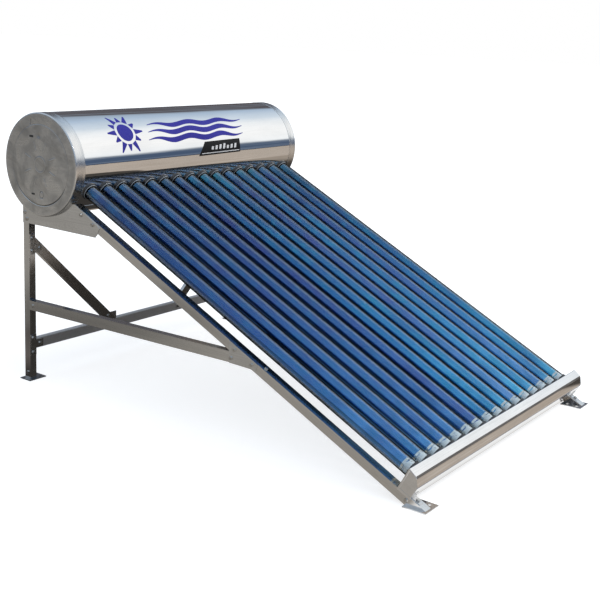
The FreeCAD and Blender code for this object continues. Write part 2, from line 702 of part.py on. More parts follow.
rev = revolve(cups, "Revolution", "cup_turned", sk, "V_Axis")
pattern_x(cups, "cup_row", rev, sk, COUNT, PITCH)
place_tube_frame(cups, FIRST_X)
node(cups, "tube_cups")


# ---------------------------------------------------------------- tail stock
def tail_outline(grow=0.0, closed=False):
    """Outer outline of the tail section as (-n, -s) sketch points."""
    w = Dim.of(grow)
    return [
        (D("rail_top") - w, -(D("tail_back") + w)),
        (-(D("tail_crest") - w * 1.1), -(D("tail_back") + w)),
        (-(D("tail_brow_n") - w * 1.15), -(D("tail_brow_s") - w * 0.45)),
        (-(D("tail_nose_n") - w * 0.35), -(D("tail_nose_s") - w)),
        (D("rail_top") - w, -(D("tail_chin_s") - w)),
    ]


tail = new_body("tail_blank")
sk = new_sketch(tail, "tail_section", "YZ_Plane")
w = D("tail_thk")
o = tail_outline()
q = tail_outline(w)
lip_b = -(D("tail_back") + 12)
lip_f = -(D("tail_chin_s") - 28)
# one folded sheet: back flange, back wall, top, brow, nose, chin, front flange
polygon(sk, [(D("rail_top"), lip_b), o[0], o[1], o[2], o[3], o[4], (D("rail_top"), lip_f),
             (D("rail_top") - w, lip_f), q[4], q[3], q[2], q[1], q[0], (D("rail_top") - w, lip_b)])
feature(tail, "Pad", "tail_pad", sk, Length=2 * (HALF - D("tail_in") - 1.5), Midplane=True)
sk = new_sketch(tail, "tail_hole", "XY_Plane", -(D("tail_back") - 1))
circle(sk, FIRST_X, 0, D("cup_rad"), "hole")
pk = feature(tail, "Pocket", "tail_pocket", sk, Type=0, Length=Dim(6.0))
pattern_x(tail, "tail_holes", pk, sk, COUNT, PITCH)
place_tube_frame(tail)
node(tail, "tail_stock")


def tail_cap(label, side):
    """End plate of the tail with a narrow flange turned into the section."""
    body = new_body(label)
    sk = new_sketch(body, label + "_plate", "YZ_Plane")
    polygon(sk, tail_outline())
    feature(body, "Pad", label + "_pad", sk, Length=Dim(1.5), Reversed=(side > 0))
    sk = new_sketch(body, label + "_rim", "YZ_Plane")
    polygon(sk, tail_outline(D("tail_thk")), "a")
    polygon(sk, tail_outline(D("tail_thk") + 1.2), "b")
    feature(body, "Pad", label + "_flange", sk, Length=Dim(9.0), Reversed=(side > 0))
    x = HALF - D("tail_in")
    place_tube_frame(body, x if side > 0 else -x)
    return node(body, label)


tail_cap("tail_cap_left", -1)
tail_cap("tail_cap_right", 1)


# ---------------------------------------------------------------- frame bars
def channel_bar(label, side, plane, outer, inner, wide, web, inset=None, tube=False, y0=None):
    """Channel: side outline padded to its width, hollowed from the open side."""
    body = new_body(label)
    sk = new_sketch(body, label + "_outline", plane)
    polygon(sk, outer)
    if plane == "YZ_Plane":
        rev = side > 0
    else:
        rev = True
    feature(body, "Pad", label + "_pad", sk, Length=wide, Reversed=rev)
    if plane == "YZ_Plane":
        off = web if side < 0 else -web
    else:
        off = -web
    sk = new_sketch(body, label + "_hollow", plane, off)
    polygon(sk, inner)
    feature(body, "Pocket", label + "_channel", sk, Type=0, Length=wide, Reversed=not rev)
    if tube:
        x = HALF - inset
        place_tube_frame(body, x if side > 0 else -x)
    elif plane == "YZ_Plane":
        x = HALF - inset
        place(body, (x if side > 0 else -x, 0, 0))
    else:
        place(body, (0, y0, 0))
    return body


T = D("sheet")
for side, tag in ((-1, "left"), (1, "right")):
    # sloping rail, cut level where it stands on its foot
    top, dep = D("rail_top"), D("rail_deep")
    end_top = (D("axis_z") - D("foot_thk") - top * COS) / SIN
    end_low = (D("axis_z") - D("foot_thk") - (top + dep) * COS) / SIN
    run = D("rail_start")
    outer = [(top, -run), (top, -end_top), (top + dep, -end_low), (top + dep, -run - 6)]
    inner = [(top + T, -run + 60), (top + T, -end_top - 60), (top + dep - T, -end_top - 60), (top + dep - T, -run + 60)]
    drilled(channel_bar("rail_%s_body" % tag, side, "YZ_Plane", outer, inner, D("rail_wide"), T, D("frame_in"), tube=True),
            "rail_" + tag)
    # rear leg
    ly = D("axis_y") + D("leg_front")
    lt = D("axis_z") - D("leg_drop")
    f = D("foot_thk")
    outer = [(ly, f), (ly + D("leg_deep"), f), (ly + D("leg_deep"), lt), (ly, lt)]
    inner = [(ly + T, f - 20), (ly + D("leg_deep") - T, f - 20), (ly + D("leg_deep") - T, lt + 20), (ly + T, lt + 20)]
    drilled(channel_bar("leg_%s_body" % tag, side, "YZ_Plane", outer, inner, D("leg_wide"), T, D("frame_in")), "leg_" + tag)
    # side strut from the leg to the underside of the rail
    hs = D("strut_high") / 2
    b, a = D("strut_back"), D("strut_fore")
    low = top + dep
    zt, zb = a + hs, a - hs
    st = (D("axis_z") - zt - low * COS) / SIN
    sb = (D("axis_z") - zb - low * COS) / SIN
    yt = D("axis_y") - st * COS + low * SIN
    yb = D("axis_y") - sb * COS + low * SIN
    outer = [(ly, b - hs), (ly, b + hs), (yt, zt), (yb, zb)]
    inner = [(ly + 60, b - hs + T), (ly + 60, b + hs - T), (yb - 60, zt - T), (yb - 60, zb + T)]
    drilled(channel_bar("strut_%s_body" % tag, side, "YZ_Plane", outer, inner, D("strut_wide"), T, D("frame_in")),
            "side_strut_" + tag)
    # rear brace, web to the front, from the leg down to the crossbar
    sg = -1 if side < 0 else 1
    x0 = HALF - D("bar_in")
    bar_top = D("bar_low") + D("bar_high")
    hi, lo, runx = D("brace_hi"), D("brace_lo"), D("brace_run")
    # both edges fall at the slope of the upper edge
    fall = (hi - bar_top) / runx
    xl = (lo - bar_top) / fall
    pts = [(x0, lo), (x0, hi), (x0 - runx, bar_top), (x0 - xl, bar_top)]
    wv = T * 1.36
    ins = [(x0 + 60, lo + wv + fall * 60), (x0 + 60, hi - wv + fall * 60), (x0 - runx - 60, bar_top - wv - fall * 60),
           (x0 - xl - 60, bar_top + wv - fall * 60)]
    flip = (lambda p: [((c if sg > 0 else -c), d) for c, d in p])
    drilled(channel_bar("brace_%s_body" % tag, side, "XZ_Plane", flip(pts), flip(ins), D("brace_deep"), T,
                        y0=D("axis_y") + D("leg_front")), "rear_brace_" + tag)

# rear crossbar, web to the front
xb = HALF - D("bar_in")
bl, bh = D("bar_low"), D("bar_high")
outer = [(-xb, bl), (xb, bl), (xb, bl + bh), (-xb, bl + bh)]
inner = [(-xb - 20, bl + T), (xb + 20, bl + T), (xb + 20, bl + bh - T), (-xb - 20, bl + bh - T)]
drilled(channel_bar("crossbar_body", -1, "XZ_Plane", outer, inner, D("bar_deep"), T, y0=D("axis_y") + D("leg_front")),
        "rear_crossbar")


# ---------------------------------------------------------------- plates
def plate(label, side, pts, thk, x_in, round_at=None):
    body = new_body(label)
    sk = new_sketch(body, label + "_outline", "YZ_Plane")
    polygon(sk, pts)
    feature(body, "Pad", label + "_pad", sk, Length=thk, Reversed=(side > 0))
    x = HALF - x_in
    place(body, (x if side > 0 else -x, 0, 0))
    return body


P = D("plate_thk")
cradle_tool = doc.addObject("Part::Cylinder", "cradle_bore")
cradle_tool.Radius = V["cap_rad"]
bind(cradle_tool, "Radius", D("cap_rad"))
cradle_tool.Height = V["tank_len"] + 40
bind(cradle_tool, "Height", D("tank_len") + 40)
place(cradle_tool, (-HALF - 20, D("axis_y"), D("axis_z")), Rotation(Vector(0, 0, 1), Vector(1, 0, 0)))
plate_tool = doc.addObject("Part::Compound", "plate_tools")
plate_tool.Links = hole_cyls
for side, tag in ((-1, "left"), (1, "right")):
    ay, az = D("axis_y"), D("axis_z")
    # side plate: carries the tank, ties the leg to the rail
    top_y, top_z = yz(216.0, -44.0)
    tip_y, tip_z = yz(362.0, -46.0)
    pts = [(ay + 124, az - 246), (ay + 124, az - 158), (ay + 40, az - 150), (top_y, top_z), (tip_y + 10, tip_z + 2),
           (tip_y - 2, tip_z - 9), (ay - 296, az - 234), (ay - 286, az - 246)]
    web = plate("side_plate_%s_web" % tag, side, pts, P, D("frame_in") - P)
    # curved saddle flange under the rim of the tank
    saddle = new_body("side_plate_%s_saddle" % tag)
    sk = new_sketch(saddle, "saddle_%s_section" % tag, "YZ_Plane")
    circle(sk, 0, 0, D("cap_rad") + P, "out")
    circle(sk, 0, 0, D("cap_rad"), "inn")
    feature(saddle, "Pad", "saddle_%s_pad" % tag, sk, Length=Dim(26.0), Reversed=(side > 0))
    x = HALF - D("frame_in") + P
    place(saddle, ((x if side > 0 else -x), ay, az))
    keep = plate("saddle_%s_zone" % tag, side, [(ay + 118, az - 246), (ay + 118, az - 150), (ay, az - 100),
                                               (top_y + 8, top_z + 4), (top_y + 8, az - 246)], Dim(26.0), D("frame_in") - P)
    flange = doc.addObject("Part::Common", "side_plate_%s_flange" % tag)
    flange.Base, flange.Tool = saddle, keep
    # stiffening return along the lower edge, between leg and rail
    ret = plate("side_plate_%s_return" % tag, side, [(ay + 90, az - 246), (ay + 90, az - 246 + P), (ay - 240, az - 246 + P),
                                                    (ay - 240, az - 246)], Dim(20.0), D("frame_in") - P)
    joined = doc.addObject("Part::MultiFuse", "side_plate_%s_joined" % tag)
    joined.Shapes = [web, flange, ret]
    bored = doc.addObject("Part::Cut", "side_plate_%s_bored" % tag)
    bored.Base, bored.Tool = joined, cradle_tool
    drilled(bored, "side_plate_" + tag, plate_tool)
    # gusset over the joint of strut and rail
    e = D("strut_fore")
    g1y, g1z = yz(1083.0, -45.0)
    g2y, g2z = yz(1228.0, -45.0)
    g3y, g3z = yz(1230.0, -72.0)
    g4y, g4z = yz(1206.0, -79.5)
    gus = plate("gusset_%s_web" % tag, side, [(g1y, g1z), (g2y, g2z), (g3y, g3z), (g4y, e - 24), (g1y - 2, e - 22)], P,
                D("frame_in") - P)
    drilled(gus, "rail_gusset_" + tag, plate_tool)


def box(label, x0, x1, y0, y1, z0, z1):
    b = doc.addObject("Part::Box", label)
    lo = [Dim.of(v) for v in (x0, y0, z0)]
    hi = [Dim.of(v) for v in (x1, y1, z1)]
    for prop, a, c in zip(("Length", "Width", "Height"), lo, hi):
        setattr(b, prop, (c - a).val)
        bind(b, prop, c - a)
    place(b, tuple(lo))
    return b


def side_box(label, side, xi0, xi1, y0, y1, z0, z1):
    """Box between two distances in from the cap face."""
    a, b = HALF - xi0, HALF - xi1
    if side > 0:
        return box(label, b, a, y0, y1, z0, z1)
    return box(label, -a, -b, y0, y1, z0, z1)


ly = D("axis_y") + D("leg_front")
F = D("foot_thk")
clip_links, clip2_links, cleat_links = [], [], []
for side, tag in ((-1, "left"), (1, "right")):
    fi = D("frame_in")
    mid = D("bar_low") + D("bar_high") / 2
    # crossbar clip: upright on the leg and an ear on the bar
    up = side_box("clip_%s_up" % tag, side, fi + 3, fi + 31, ly - P, ly, mid - 48, mid + 42)
    ear = side_box("clip_%s_ear" % tag, side, fi + 31, fi + 68, ly - P, ly, mid - 17, mid + 17)
    m = doc.addObject("Part::Fuse", "crossbar_clip_" + tag)
    m.Base, m.Tool = up, ear
    clip_links.append(m)
    # brace clip: upright on the leg and an ear on the brace
    up = side_box("brace_clip_%s_up" % tag, side, fi + 3, fi + 29, ly - P, ly, 532.0, 616.0)
    ear = side_box("brace_clip_%s_ear" % tag, side, fi + 29, fi + 66, ly - P, ly, 538.0, 570.0)
    m = doc.addObject("Part::Fuse", "brace_clip_" + tag)
    m.Base, m.Tool = up, ear
    clip2_links.append(m)
    # lower brace clip behind the webs; the crossbar's top flange is slotted for it
    low = side_box("brace_foot_%s" % tag, side, Dim(452.0), Dim(520.0), ly + T, ly + T + P, mid - 14, Dim(206.0))
    clip2_links.append(low)
    # strut cleat: angle inside the strut, on the leg's front flange
    a = side_box("cleat_%s_a" % tag, side, fi + T, fi + T + P, ly - 32, ly, D("strut_back") - 13, D("strut_back") + 13)
    b = side_box("cleat_%s_b" % tag, side, fi + T, fi + 28, ly - P, ly, D("strut_back") - 13, D("strut_back") + 13)
    m = doc.addObject("Part::Fuse", "strut_cleat_" + tag)
    m.Base, m.Tool = a, b
    cleat_links.append(m)

for links, label in ((clip_links, "crossbar_clips"), (clip2_links, "brace_clips"), (cleat_links, "strut_cleats")):
    c = doc.addObject("Part::Compound", label + "_blank")
    c.Links = links
    drilled(c, label)

# slots in the crossbar and brace flanges for the lower brace clips
slot_links = []
for side, tag in ((-1, "left"), (1, "right")):
    slot_links.append(side_box("clip_slot_%s" % tag, side, Dim(451.5), Dim(520.5), ly + T, ly + T + P + 0.5, Dim(160.0), Dim(210.0)))
slots = doc.addObject("Part::Compound", "clip_slots")
slots.Links = slot_links


def slotted(label):
    for k, (nm, obj) in enumerate(NODES):
        if nm == label:
            obj.Label = label + "_drilled"
            cut = doc.addObject("Part::Cut", label + "_slotted")
            cut.Base, cut.Tool = obj, slots
            cut.Label = label
            NODES[k] = (label, cut)
            return


# ---------------------------------------------------------------- feet
def foot(label, side, xa, xb_, y0, y1, tab_pts, hole_x, hole_y, hole_gap):
    base = side_box(label + "_base", side, xa, xb_, y0, y1, Dim(0.0), F)
    tab = plate(label + "_tab", side, tab_pts, F, D("frame_in") + T)
    fu = doc.addObject("Part::Fuse", label + "_joined")
    fu.Base, fu.Tool = base, tab
    holes = []
    x = HALF - hole_x
    for k in (-1, 1):
        c = doc.addObject("Part::Cylinder", "%s_anchor_%s" % (label, "a" if k < 0 else "b"))
        c.Radius = V["anchor_hole"]
        bind(c, "Radius", D("anchor_hole"))
        c.Height = 20.0
        place(c, ((x if side > 0 else -x), hole_y + k * hole_gap / 2, Dim(-5.0)))
        holes.append(c)
    hc = doc.addObject("Part::Compound", label + "_holes")
    hc.Links = holes + hole_cyls
    drilled(fu, label, hc)


for side, tag in ((-1, "left"), (1, "right")):
    ta, tb = ly + T, ly + D("leg_deep") - T
    foot("foot_rear_" + tag, side, Dim(7.5), Dim(94.5), ly - 14, ly + 46, [(ta, F - 1), (tb, F - 1), (tb, 46), (ta, 46)],
         Dim(76.0), ly + 16, Dim(32.0))
    y_toe = D("axis_y") - end_top * COS + D("rail_top") * SIN
    n_hi, n_lo = D("rail_top") + T + 1, D("rail_top") + D("rail_deep") - T - 1
    s_hi = (D("axis_z") - F + 1 - n_hi * COS) / SIN
    s_lo = (D("axis_z") - F + 1 - n_lo * COS) / SIN
    tab_pts = [yz(s_hi, -n_hi), yz(s_lo, -n_lo), yz(Dim(1888.0), -n_lo), yz(Dim(1888.0), -n_hi)]
    foot("foot_front_" + tag, side, Dim(7.5), Dim(96.5), y_toe - 9, y_toe + 79, tab_pts, Dim(78.0), y_toe + 35, Dim(40.0))

# the tail stock's fixing lugs, one on each rail
lug_links = []
for side, tag in ((-1, "left"), (1, "right")):
    body = new_body("tail_lug_%s" % tag)
    sk = new_sketch(body, "lug_%s_profile" % tag, "YZ_Plane")
    t0 = D("rail_top")
    polygon(sk, [(t0, -D("tail_chin_s")), (t0, -(D("tail_chin_s") + 34)), (t0 - P, -(D("tail_chin_s") + 34)),
                 (t0 - P, -(D("tail_chin_s") + P)), (t0 - 24, -(D("tail_chin_s") + P + 1.2)), (t0 - 24, -(D("tail_chin_s") + 1.5))])
    feature(body, "Pad", "lug_%s_pad" % tag, sk, Length=Dim(24.0), Midplane=True)
    x = HALF - D("frame_in") - 17
    place_tube_frame(body, x if side > 0 else -x)
    lug_links.append(body)
lc = doc.addObject("Part::Compound", "tail_lugs_blank")
lc.Links = lug_links
drilled(lc, "tail_lugs")

for nm in ("rear_crossbar", "rear_brace_left", "rear_brace_right"):
    slotted(nm)

doc.recompute()

# ---------------------------------------------------------------- checks
bad = []
for obj in doc.Objects:
    state = " ".join(obj.State)
    if "Invalid" in state or "Error" in state:
        bad.append("%s: %s" % (obj.Label, state))
for label, obj in NODES:
    if obj.Shape.isNull() or not obj.Shape.isValid() or not obj.Shape.Solids:
        bad.append("%s: shape null, invalid or empty" % label)
if bad:
    raise RuntimeError("; ".join(bad))

os.makedirs("parts", exist_ok=True)
for old in os.listdir("parts"):
    if old.endswith(".step"):
        os.remove(os.path.join("parts", old))
for label, obj in NODES:
    obj.Shape.exportStep("parts/%s.step" % label)
total = Part.makeCompound([obj.Shape for _, obj in NODES]).BoundBox
print("nodes", len(NODES), "box", [round(v, 2) for v in (total.XMin, total.XMax, total.YMin, total.YMax, total.ZMin, total.ZMax)])
for label, obj in NODES:
    print("%-22s solids %3d volume %.0f" % (label, len(obj.Shape.Solids), obj.Shape.Volume))
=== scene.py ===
"""Looks of the evacuated-tube solar water heater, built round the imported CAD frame.

Metres, +X along the tank, +Y to the back, +Z up.  Tube-frame pieces use local axes
(x, up the tube, out of the tube plane), so local y is minus the distance from the tank axis.
"""

import json
import math
import random

import bmesh
import bpy
import numpy as np
from mathutils import Matrix, Vector, noise

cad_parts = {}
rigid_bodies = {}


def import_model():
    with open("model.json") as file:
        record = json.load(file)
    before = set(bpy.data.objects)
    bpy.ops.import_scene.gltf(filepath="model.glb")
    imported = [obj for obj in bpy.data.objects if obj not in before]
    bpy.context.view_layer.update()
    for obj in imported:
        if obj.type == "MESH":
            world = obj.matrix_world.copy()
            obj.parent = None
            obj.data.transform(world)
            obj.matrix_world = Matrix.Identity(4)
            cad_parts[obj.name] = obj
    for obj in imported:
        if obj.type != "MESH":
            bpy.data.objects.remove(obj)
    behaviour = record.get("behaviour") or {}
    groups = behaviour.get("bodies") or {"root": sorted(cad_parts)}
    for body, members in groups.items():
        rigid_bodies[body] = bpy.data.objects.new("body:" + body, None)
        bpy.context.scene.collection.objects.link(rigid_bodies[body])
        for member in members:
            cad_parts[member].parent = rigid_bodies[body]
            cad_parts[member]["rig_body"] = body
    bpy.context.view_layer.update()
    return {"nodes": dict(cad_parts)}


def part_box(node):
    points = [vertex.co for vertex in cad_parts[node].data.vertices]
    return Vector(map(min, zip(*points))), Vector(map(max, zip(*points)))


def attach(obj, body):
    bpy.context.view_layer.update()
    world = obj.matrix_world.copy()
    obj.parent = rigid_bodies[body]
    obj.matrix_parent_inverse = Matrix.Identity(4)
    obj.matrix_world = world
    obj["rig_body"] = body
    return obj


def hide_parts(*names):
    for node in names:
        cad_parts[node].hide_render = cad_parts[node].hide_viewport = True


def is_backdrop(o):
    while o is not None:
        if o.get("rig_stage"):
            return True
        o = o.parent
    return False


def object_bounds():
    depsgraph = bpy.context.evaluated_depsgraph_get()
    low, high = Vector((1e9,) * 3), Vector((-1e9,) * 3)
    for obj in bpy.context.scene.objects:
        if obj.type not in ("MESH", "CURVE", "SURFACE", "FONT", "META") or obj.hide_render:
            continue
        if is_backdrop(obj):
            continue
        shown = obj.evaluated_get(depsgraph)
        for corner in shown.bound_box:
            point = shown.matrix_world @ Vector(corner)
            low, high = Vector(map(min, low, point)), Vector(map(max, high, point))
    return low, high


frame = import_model()
SEED = 4127
random.seed(SEED)

# ------------------------------------------------------------------ sizes (m)
THETA = math.radians(25.6)
AXIS_Y, AXIS_Z = 0.795, 0.9085
SHELL_R, CAP_R, HALF = 0.202, 0.203, 0.7125
PITCH, COUNT = 0.083, 16
FIRST_X = -PITCH * (COUNT - 1) / 2
UP = Vector((0, math.cos(THETA), math.sin(THETA)))
OUT = Vector((0, -math.sin(THETA), math.cos(THETA)))


def tube_matrix(x):
    m = Matrix.Identity(4)
    for r in range(3):
        m[r][0] = (1.0, 0.0, 0.0)[r]
        m[r][1] = UP[r]
        m[r][2] = OUT[r]
    m.translation = Vector((x, AXIS_Y, AXIS_Z))
    return m


# ------------------------------------------------------------------ node helpers
class Tree:
    """A small wrapper to write node trees in one line a node."""

    def __init__(self, name, shader=True):
        self.mat = bpy.data.materials.new(name)
        self.mat.use_nodes = True
        self.nt = self.mat.node_tree
        self.nt.nodes.clear()
        self.out = self.nt.nodes.new("ShaderNodeOutputMaterial")
        self.bsdf = None
        if shader:
            self.bsdf = self.nt.nodes.new("ShaderNodeBsdfPrincipled")
            self.nt.links.new(self.bsdf.outputs[0], self.out.inputs[0])

    def node(self, kind, **kw):
        n = self.nt.nodes.new("ShaderNode" + kind)
        for k, v in kw.items():
            setattr(n, k, v)
        return n

    def put(self, socket, value):
        if isinstance(value, bpy.types.NodeSocket):
            self.nt.links.new(value, socket)
        elif value is not None:
            if hasattr(socket, "default_value"):
                if hasattr(socket.default_value, "__len__") and not hasattr(value, "__len__"):
                    value = (value,) * len(socket.default_value)
                if hasattr(socket.default_value, "__len__") and len(value) == 3 and len(socket.default_value) == 4:
                    value = tuple(value) + (1.0,)
                socket.default_value = value

    def set(self, **kw):
        names = {"base": "Base Color", "metallic": "Metallic", "rough": "Roughness", "ior": "IOR",
                 "normal": "Normal", "coat": "Coat Weight", "coat_rough": "Coat Roughness",
                 "coat_normal": "Coat Normal", "spec": "Specular IOR Level", "tint": "Specular Tint",
                 "transmission": "Transmission Weight", "alpha": "Alpha", "aniso": "Anisotropic",
                 "sheen": "Sheen Weight", "emit": "Emission Color", "emit_s": "Emission Strength",
                 "sss": "Subsurface Weight"}
        for k, v in kw.items():
            self.put(self.bsdf.inputs[names[k]], v)
        return self

    def coord(self, which="Object"):
        return self.node("TexCoord").outputs[which]

    def mapped(self, vec, scale=(1, 1, 1), rot=(0, 0, 0), loc=(0, 0, 0)):
        """Turns the axes first, then stretches along the turned ones."""
        if any(rot):
            vec = self.mapped(vec, rot=(0, 0, 0), loc=loc) if any(loc) else vec
            r = self.node("VectorRotate", rotation_type="EULER_XYZ")
            self.put(r.inputs["Vector"], vec)
            r.inputs["Rotation"].default_value = rot
            vec, rot, loc = r.outputs[0], (0, 0, 0), (0, 0, 0)
        n = self.node("Mapping")
        self.put(n.inputs["Vector"], vec)
        n.inputs["Location"].default_value = loc
        n.inputs["Rotation"].default_value = rot
        n.inputs["Scale"].default_value = scale
        return n.outputs[0]

    def noise(self, vec, scale=5.0, detail=3.0, rough=0.55, distortion=0.0):
        n = self.node("TexNoise")
        self.put(n.inputs["Vector"], vec)
        n.inputs["Scale"].default_value = scale
        n.inputs["Detail"].default_value = detail
        n.inputs["Roughness"].default_value = rough
        n.inputs["Distortion"].default_value = distortion
        return n.outputs["Fac"]

    def voronoi(self, vec, scale=5.0, feature="F1", out="Distance"):
        n = self.node("TexVoronoi", feature=feature)
        self.put(n.inputs["Vector"], vec)
        n.inputs["Scale"].default_value = scale
        return n.outputs[out]

    def ramp(self, fac, stops, interp="LINEAR"):
        n = self.node("ValToRGB")
        n.color_ramp.interpolation = interp
        els = n.color_ramp.elements
        while len(els) < len(stops):
            els.new(0.5)
        for e, (p, c) in zip(els, stops):
            e.position = p
            e.color = (c, c, c, 1) if not hasattr(c, "__len__") else tuple(c) + (1,) * (4 - len(c))
        self.put(n.inputs[0], fac)
        return n.outputs[0]

    def math(self, op, a, b=0.0, c=None, clamp=False):
        n = self.node("Math", operation=op, use_clamp=clamp)
        self.put(n.inputs[0], a)
        self.put(n.inputs[1], b)
        if c is not None:
            self.put(n.inputs[2], c)
        return n.outputs[0]

    def fit(self, v, a, b, c=0.0, d=1.0, smooth=False):
        n = self.node("MapRange", interpolation_type="SMOOTHSTEP" if smooth else "LINEAR")
        for s, x in zip(("Value", "From Min", "From Max", "To Min", "To Max"), (v, a, b, c, d)):
            self.put(n.inputs[s], x)
        return n.outputs[0]

    def mix(self, fac, a, b, blend="MIX"):
        n = self.node("Mix", data_type="RGBA", blend_type=blend)
        n.clamp_factor = True
        self.put(n.inputs[0], fac)
        self.put(n.inputs[6], a)
        self.put(n.inputs[7], b)
        return n.outputs[2]

    def bump(self, height, strength=0.2, distance=0.001, normal=None):
        n = self.node("Bump")
        n.inputs["Strength"].default_value = strength
        n.inputs["Distance"].default_value = distance
        self.put(n.inputs["Height"], height)
        if normal is not None:
            self.put(n.inputs["Normal"], normal)
        return n.outputs[0]

    def split(self, vec):
        n = self.node("SeparateXYZ")
        self.put(n.inputs[0], vec)
        return n.outputs[0], n.outputs[1], n.outputs[2]


def rgb(r, g, b):
    """Display colour 0..255 to linear."""
    def f(v):
        v /= 255.0
        return v / 12.92 if v <= 0.04045 else ((v + 0.055) / 1.055) ** 2.4
    return (f(r), f(g), f(b))


# ------------------------------------------------------------------ materials
def steel(name, base, rough, rot=(0, 0, 0), grain=1.0, mottle=0.07, bump=0.10, stain=0.18,
          wear=True, rough_var=0.07, metal=1.0):
    """Sheet steel with rolling grain along local x of the turned axes, faint tone changes, water marks and burnished edges."""
    t = Tree(name)
    o = t.coord()
    g = t.noise(t.mapped(o, scale=(5 * grain, 520 * grain, 520 * grain), rot=rot), 1.0, 4.0, 0.6)
    broad = t.noise(t.mapped(o, scale=(2.2, 16, 16), rot=rot), 1.0, 2.0, 0.5)
    spots = t.noise(o, 90.0, 4.0, 0.6)
    marks = t.noise(t.mapped(o, scale=(7, 26, 26), rot=rot), 1.0, 5.0, 0.62, 0.4)
    c = t.mix(t.fit(broad, 0.3, 0.7), [v * (1 - mottle) for v in base], [min(1, v * (1 + mottle)) for v in base])
    c = t.mix(t.fit(g, 0.38, 0.66, 0.0, 0.40), c, [v * 0.78 for v in base])
    c = t.mix(t.fit(marks, 0.58, 0.72, 0.0, stain), c, [v * 0.62 for v in base])
    c = t.mix(t.fit(spots, 0.66, 0.74, 0.0, stain * 1.2), c, [v * 0.5 for v in base])
    if wear:
        geo = t.node("NewGeometry")
        edge = t.fit(geo.outputs["Pointiness"], 0.52, 0.60, 0.0, 0.6)
        edge = t.math("MULTIPLY", edge, t.fit(spots, 0.35, 0.6))
        c = t.mix(edge, c, [min(1, v * 1.25 + 0.04) for v in base])
    r = t.fit(broad, 0.25, 0.75, rough - rough_var * 0.5, rough + rough_var * 0.5)
    r = t.math("ADD", r, t.fit(g, 0.3, 0.7, -0.02, 0.04))
    r = t.math("ADD", r, t.fit(marks, 0.56, 0.75, 0.0, 0.10), clamp=True)
    n = t.bump(g, bump, 0.00015)
    n = t.bump(broad, 0.05, 0.0015, n)
    t.set(base=c, metallic=metal, rough=r, normal=n)
    return t.mat


def mirror_shell():
    t = Tree("shell_polished_steel")
    o = t.coord()
    line = t.noise(t.mapped(o, scale=(1.6, 900, 900)), 1.0, 3.0, 0.6)       # polishing lines run along the drum
    wave = t.noise(t.mapped(o, scale=(2.2, 7.0, 7.0)), 1.0, 1.0, 0.4)       # slow waviness of thin sheet
    dimple = t.noise(t.mapped(o, scale=(7.0, 26.0, 26.0)), 1.0, 2.0, 0.5)
    cloud = t.noise(t.mapped(o, scale=(4, 16, 16)), 1.0, 5.0, 0.62, 0.4)
    dust = t.noise(o, 340.0, 2.0, 0.5)
    c = t.mix(t.fit(cloud, 0.35, 0.72), (0.93, 0.93, 0.93), (0.84, 0.845, 0.85))
    c = t.mix(t.fit(line, 0.42, 0.66, 0.0, 0.18), c, (0.70, 0.71, 0.73))
    c = t.mix(t.fit(dust, 0.67, 0.74, 0.0, 0.22), c, (0.55, 0.53, 0.50))
    r = t.fit(cloud, 0.3, 0.75, 0.010, 0.035)
    r = t.math("ADD", r, t.fit(line, 0.35, 0.65, 0.0, 0.010), clamp=True)
    n = t.bump(wave, 0.30, 0.0022)
    n = t.bump(dimple, 0.05, 0.0012, n)
    n = t.bump(line, 0.03, 0.0001, n)
    t.set(base=c, metallic=1.0, rough=r, normal=n)
    return t.mat


